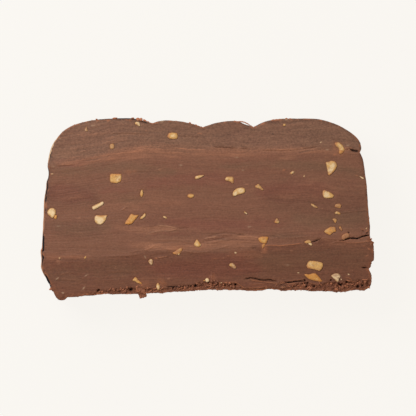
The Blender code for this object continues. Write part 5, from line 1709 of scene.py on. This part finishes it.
def crumb_texture(name):
    """Broken gianduja: a craggy height, and a mask that is high on the crag tops, for painted highlight there and
    painted shade between them.
    """
    tree, place, ends = new_group(name, "Height", "Crag_light")
    coarse = noise_of(tree, place, (1.9, 2.1, 2.0), detail=3.0, roughness=0.65, distortion=0.4)
    height = times(tree, cells_of(tree, place, (2.6, 2.6, 2.6), feature="SMOOTH_F1")["Distance"], -0.8, coarse)
    plug_all(tree, ends, {"Height": height, "Crag_light": ramp(tree, height, -0.35, 0.75)})
    return tree


def new_material(name):
    """A material, its tree and its Principled BSDF."""
    material = bpy.data.materials.new(name)
    material.use_nodes = True
    return material, material.node_tree, material.node_tree.nodes["Principled BSDF"]


def dress(tree, shader, colour, roughness, specular, relief, distance, strength):
    """Sets the shader's colour, roughness and reflection, and its normal from a relief."""
    made = node(tree, "ShaderNodeBump")
    plug_all(tree, made.inputs, {"Distance": distance, "Strength": strength, "Height": relief})
    plug_all(tree, shader.inputs, {
        "Base Color": colour, "Roughness": roughness, "Specular IOR Level": specular, "Normal": made.outputs["Normal"],
    })


def gianduja_surface(name, settings):
    """Colour, roughness and height of gianduja, cut, moulded or crumbled as the marks of the mesh say."""
    tree, place, ends = new_group(name, "Colour", "Roughness", "Height")
    drag = group_at(tree, place, "Knife drag", knife_drag)
    grain = group_at(tree, place, "Cocoa grain", cocoa_grain)
    broken = group_at(tree, place, "Crumb texture", crumb_texture)
    skin, torn, top, base = (mark_of(tree, found) for found in ("skin", "torn", "top_layer", "base_layer"))
    fine = drag["Fine"]

    wander = times(tree, drag["Cloud"], 0.9, maths(tree, "ADD", drag["Blotch"], drag["Smear"]))
    colour = layered(
        tree, settings.middle_colour,
        (top, settings.top_colour),
        (base, settings.base_colour),
        (times(tree, wander, 0.35, mark_of(tree, "olive"), clamp=True), settings.olive_tint, "MULTIPLY"),
        (times(tree, wander, -0.35, mark_of(tree, "red"), clamp=True), settings.red_tint, "MULTIPLY"),
        (times(tree, mark_of(tree, "warm"), times(tree, fine, 1.1, 0.7), clamp=True), settings.warm_colour),
        (times(tree, mark_of(tree, "pale"), times(tree, fine, 1.0, 0.85), clamp=True), settings.pale_colour),
    )
    shade = weighed(tree, 0.0, (fine, 0.135), (drag["Smear"], 0.09), (drag["Cloud"], 0.06), (grain["Mottle"], 0.30))
    shade = weighed(
        tree, times(tree, drag["Broad"], 0.08, 1.0), (shade, weighed(tree, 1.0, (base, 0.35), (top, 0.75))),
        (mark_of(tree, "rim"), -0.22), (mark_of(tree, "deep"), -0.18),
    )
    scuffs = times(tree, ramp(tree, grain["Mottle"], 0.1, 0.9), 0.35)
    # Torn gianduja: painted shade between its crags, and painted highlight in the burr colour on their tops.
    fresh = blend(tree, broken["Crag_light"], [c * 0.72 for c in settings.torn_colour], settings.torn_colour)
    colour = layered(
        tree, dimmed(tree, colour, shade),
        (times(tree, grain["Specks"], 0.55), settings.pale_colour),
        # Pinholes darkened with the painted shade colour.
        (times(tree, grain["Pinholes"], 0.5), settings.painted_shade_colour),
        (skin, blend(tree, scuffs, settings.skin_colour, settings.base_colour)),
        (torn, blend(tree, ramp(tree, broken["Crag_light"], 0.7, 1.0), fresh, settings.burr_and_highlight_colour)),
        (mark_of(tree, "burr"), settings.burr_and_highlight_colour),
        (mark_of(tree, "flake"), settings.flake_and_highlight_colour),
        # Painted shade over all: cracks, pits, the ledge's gap, torn crags and the sides of the nut pieces.
        (mark_of(tree, "painted_shade"), settings.painted_shade_colour),
    )

    finish = ramp(tree, skin, 0.0, 1.0, times(tree, fine, 0.05, settings.cut_roughness), settings.skin_roughness)
    cut = maths(tree, "SUBTRACT", 1.0, maths(tree, "MAXIMUM", skin, torn))
    height = weighed(
        tree, times(tree, drag["Height"], cut), (grain["Mottle"], 0.2), (times(tree, broken["Height"], torn), 1.6),
        (grain["Pinholes"], -0.8),
    )
    plug_all(tree, ends, {"Colour": colour, "Roughness": times(tree, torn, 0.2, finish, clamp=True), "Height": height})
    return tree


def gianduja_material(name, settings, specular):
    """Gianduja with a given strength of reflection, which is lower on the moulded walls."""
    material, tree, shader = new_material(name)
    surface = group_at(tree, place_in_millimetres(tree), "Gianduja surface", gianduja_surface, settings)
    dress(tree, shader, surface["Colour"], surface["Roughness"], specular, surface["Height"], 0.13 * MM, 0.8)
    return material


def hazelnut_material(settings):
    """Chopped hazelnut: cream to amber, brown on its skin side, with films of gianduja."""
    material, tree, shader = new_material("chopped hazelnut")
    place = place_in_millimetres(tree)
    grain = group_at(tree, place, "Cocoa grain", cocoa_grain)["Mottle"]
    flesh = noise_of(tree, place, (1.7, 1.7, 1.7), detail=3.0, roughness=0.65)
    tone = times(tree, flesh, 0.22, mark_of(tree, "tone"))
    colour = layered(
        tree, settings.cream,
        (ramp(tree, tone, 0.0, 0.5), settings.gold),
        (ramp(tree, tone, 0.5, 1.0), settings.amber),
        (mark_of(tree, "toast"), settings.toasted),
    )
    colour = dimmed(tree, colour, weighed(tree, 1.0, (grain, 0.12), (flesh, 0.10)))
    streaks = group_at(tree, place, "Knife drag", knife_drag)["Fine"]
    film = times(tree, streaks, 0.18, mark_of(tree, "film"), clamp=True)
    colour = blend(tree, film, colour, FILM_COLOUR)
    roughness = ramp(tree, film, 0.0, 1.0, 0.48, 0.6)
    dress(tree, shader, colour, roughness, NUT_SPECULAR, maths(tree, "ADD", flesh, grain), 0.07 * MM, 0.7)
    return material


def crumb_material(settings):
    """Crumbs of gianduja, with painted highlight in a brighter red on their crag tops and lit sides, and painted shade
    where marked.
    """
    material, tree, shader = new_material("gianduja crumbs")
    place = place_in_millimetres(tree)
    broken = group_at(tree, place, "Crumb texture", crumb_texture)
    grain = group_at(tree, place, "Cocoa grain", cocoa_grain)["Mottle"]
    lit = times(tree, broken["Crag_light"], 0.5, times(tree, mark_of(tree, "bright"), 0.7))
    colour = dimmed(tree, blend(tree, lit, settings.dull, settings.bright), times(tree, grain, 0.08, 1.0))
    colour = blend(tree, mark_of(tree, "shade"), colour, [c * 0.3 for c in settings.dull])
    relief = maths(tree, "ADD", broken["Height"], grain)
    dress(tree, shader, colour, CRUMB_ROUGHNESS, CRUMB_SPECULAR, relief, 0.09 * MM, 0.8)
    return material


# ---- Stage, in metres ----

FLOOR_SIZE = 6.0
KEY_PLACE = (-0.27, 0.24, 0.45)
KEY_AIM = (-0.01, 0.0, 0.02)
KEY_SIZE = 0.32
CAMERA_SHIFT = (0.40 * MM, 0.34 * MM)  # from the middle of the slice's box to the middle of the view


def floor_piece(settings):
    """A wide pale floor that glows a little, so that shadows on it stay faint."""
    shape = bmesh.new()
    bmesh.ops.create_grid(shape, x_segments=8, y_segments=8, size=FLOOR_SIZE)
    mesh = bpy.data.meshes.new("floor")
    shape.to_mesh(mesh)
    shape.free()
    floor = bpy.data.objects.new("floor", mesh)
    bpy.context.scene.collection.objects.link(floor)
    material, tree, shader = new_material("pale floor")
    glow = settings.floor_glow
    plug_all(tree, shader.inputs, {
        "Base Color": [c * (1 - glow) for c in settings.floor], "Roughness": 0.9, "Specular IOR Level": 0.0,
        "Emission Color": settings.floor, "Emission Strength": glow,
    })
    mesh.materials.append(material)


def soft_light(name, place, aim, size, power):
    """A square area light aimed at a point."""
    light = bpy.data.lights.new(name, "AREA")
    light.shape = "SQUARE"
    light.size = size
    light.energy = power
    made = bpy.data.objects.new(name, light)
    made.location = place
    made.rotation_mode = "QUATERNION"
    made.rotation_quaternion = (Vector(aim) - Vector(place)).to_track_quat("-Z", "Y")
    bpy.context.scene.collection.objects.link(made)


def studio_light(settings):
    """A soft key light from the upper left, over an even fill."""
    soft_light("key", KEY_PLACE, KEY_AIM, KEY_SIZE, settings.key_power)
    world = bpy.data.worlds.new("even light")
    world.use_nodes = True
    background = world.node_tree.nodes["Background"]
    background.inputs["Color"].default_value = (*settings.floor, 1.0)
    background.inputs["Strength"].default_value = settings.fill
    bpy.context.scene.world = world


def overhead_camera(settings):
    """A camera with a long lens that looks down on the cut face, a little from the left and the lobed side."""
    low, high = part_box(NODE)
    shift_x, shift_y = CAMERA_SHIFT
    aim = Vector(((low.x + high.x) / 2 + shift_x, (low.y + high.y) / 2 + shift_y, THICKNESS * MM))
    lean = settings.camera_tilt
    away = Vector((-math.sin(lean) * 0.8, math.sin(lean) * 0.6, math.cos(lean)))
    data = bpy.data.cameras.new("camera")
    data.lens = data.sensor_width * settings.camera_distance / settings.view_width
    data.clip_end = 20.0
    camera = bpy.data.objects.new("camera", data)
    camera.location = aim + away * settings.camera_distance
    back, up = away.normalized(), Vector((0, 1, 0))
    right = up.cross(back).normalized()
    camera.rotation_mode = "QUATERNION"
    camera.rotation_quaternion = Matrix((right, back.cross(right), back)).transposed().to_quaternion()
    bpy.context.scene.collection.objects.link(camera)
    bpy.context.scene.camera = camera


# ---- Operators, panel and registration ----


class GIANDUJA_OT_slice(bpy.types.Operator):
    """Make the slice with its cut faces and moulded walls"""

    bl_idname = "gianduja.slice"
    bl_label = "Slice"

    def execute(self, context):
        settings = context.scene.gianduja_slice
        cut = gianduja_material("cut gianduja", settings, CUT_SPECULAR)
        moulded = gianduja_material("moulded gianduja", settings, MOULDED_SPECULAR)
        made = slice_piece(settings).piece("gianduja_slice", cut, moulded)
        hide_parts(NODE)
        return {"FINISHED"}


class GIANDUJA_OT_hazelnut(bpy.types.Operator):
    """Make the chopped hazelnut and its specks"""

    bl_idname = "gianduja.hazelnut"
    bl_label = "Chopped hazelnut"

    def execute(self, context):
        settings = context.scene.gianduja_hazelnut
        material = hazelnut_material(settings)
        hazelnut_cloud(settings).piece("chopped_hazelnut", material)
        fleck_cloud().piece("hazelnut_specks", material)
        return {"FINISHED"}


class GIANDUJA_OT_crumbs(bpy.types.Operator):
    """Make the crumbs and the chip on the crumbled edge"""

    bl_idname = "gianduja.crumbs"
    bl_label = "Crumbs and chip"

    def execute(self, context):
        settings = context.scene.gianduja_crumbs
        material = crumb_material(settings)
        crumb_cloud(settings).piece("crumbs", material)
        chip_cloud().piece("chip", material)
        return {"FINISHED"}


class GIANDUJA_OT_stage(bpy.types.Operator):
    """Make the floor, the light and the camera"""

    bl_idname = "gianduja.stage"
    bl_label = "Stage"

    def execute(self, context):
        settings = context.scene.gianduja_stage
        floor_piece(settings)
        studio_light(settings)
        overhead_camera(settings)
        context.scene.view_settings.view_transform = "Standard"
        context.scene.view_settings.look = "None"
        return {"FINISHED"}


class GIANDUJA_PT_parts(bpy.types.Panel):
    """Buttons that make each group of pieces"""

    bl_label = "Gianduja bar"
    bl_idname = "GIANDUJA_PT_parts"
    bl_space_type = "VIEW_3D"
    bl_region_type = "UI"
    bl_category = "Gianduja"

    def draw(self, context):
        for operator in OPERATORS:
            self.layout.operator(operator.bl_idname)


SETTINGS = {
    "gianduja_slice": SliceSettings,
    "gianduja_hazelnut": HazelnutSettings,
    "gianduja_crumbs": CrumbSettings,
    "gianduja_stage": StageSettings,
}
OPERATORS = [GIANDUJA_OT_slice, GIANDUJA_OT_hazelnut, GIANDUJA_OT_crumbs, GIANDUJA_OT_stage]


def register():
    for found in [*SETTINGS.values(), *OPERATORS, GIANDUJA_PT_parts]:
        bpy.utils.register_class(found)
    for name, settings in SETTINGS.items():
        setattr(bpy.types.Scene, name, bpy.props.PointerProperty(type=settings))


def unregister():
    for name in SETTINGS:
        delattr(bpy.types.Scene, name)
    for found in [GIANDUJA_PT_parts, *reversed(OPERATORS), *SETTINGS.values()]:
        bpy.utils.unregister_class(found)


def main():
    """Makes every piece in order."""
    register()
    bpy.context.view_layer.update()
    bpy.ops.gianduja.slice()
    bpy.ops.gianduja.hazelnut()
    bpy.ops.gianduja.crumbs()
    bpy.ops.gianduja.stage()


if __name__ == "__main__":
    main()
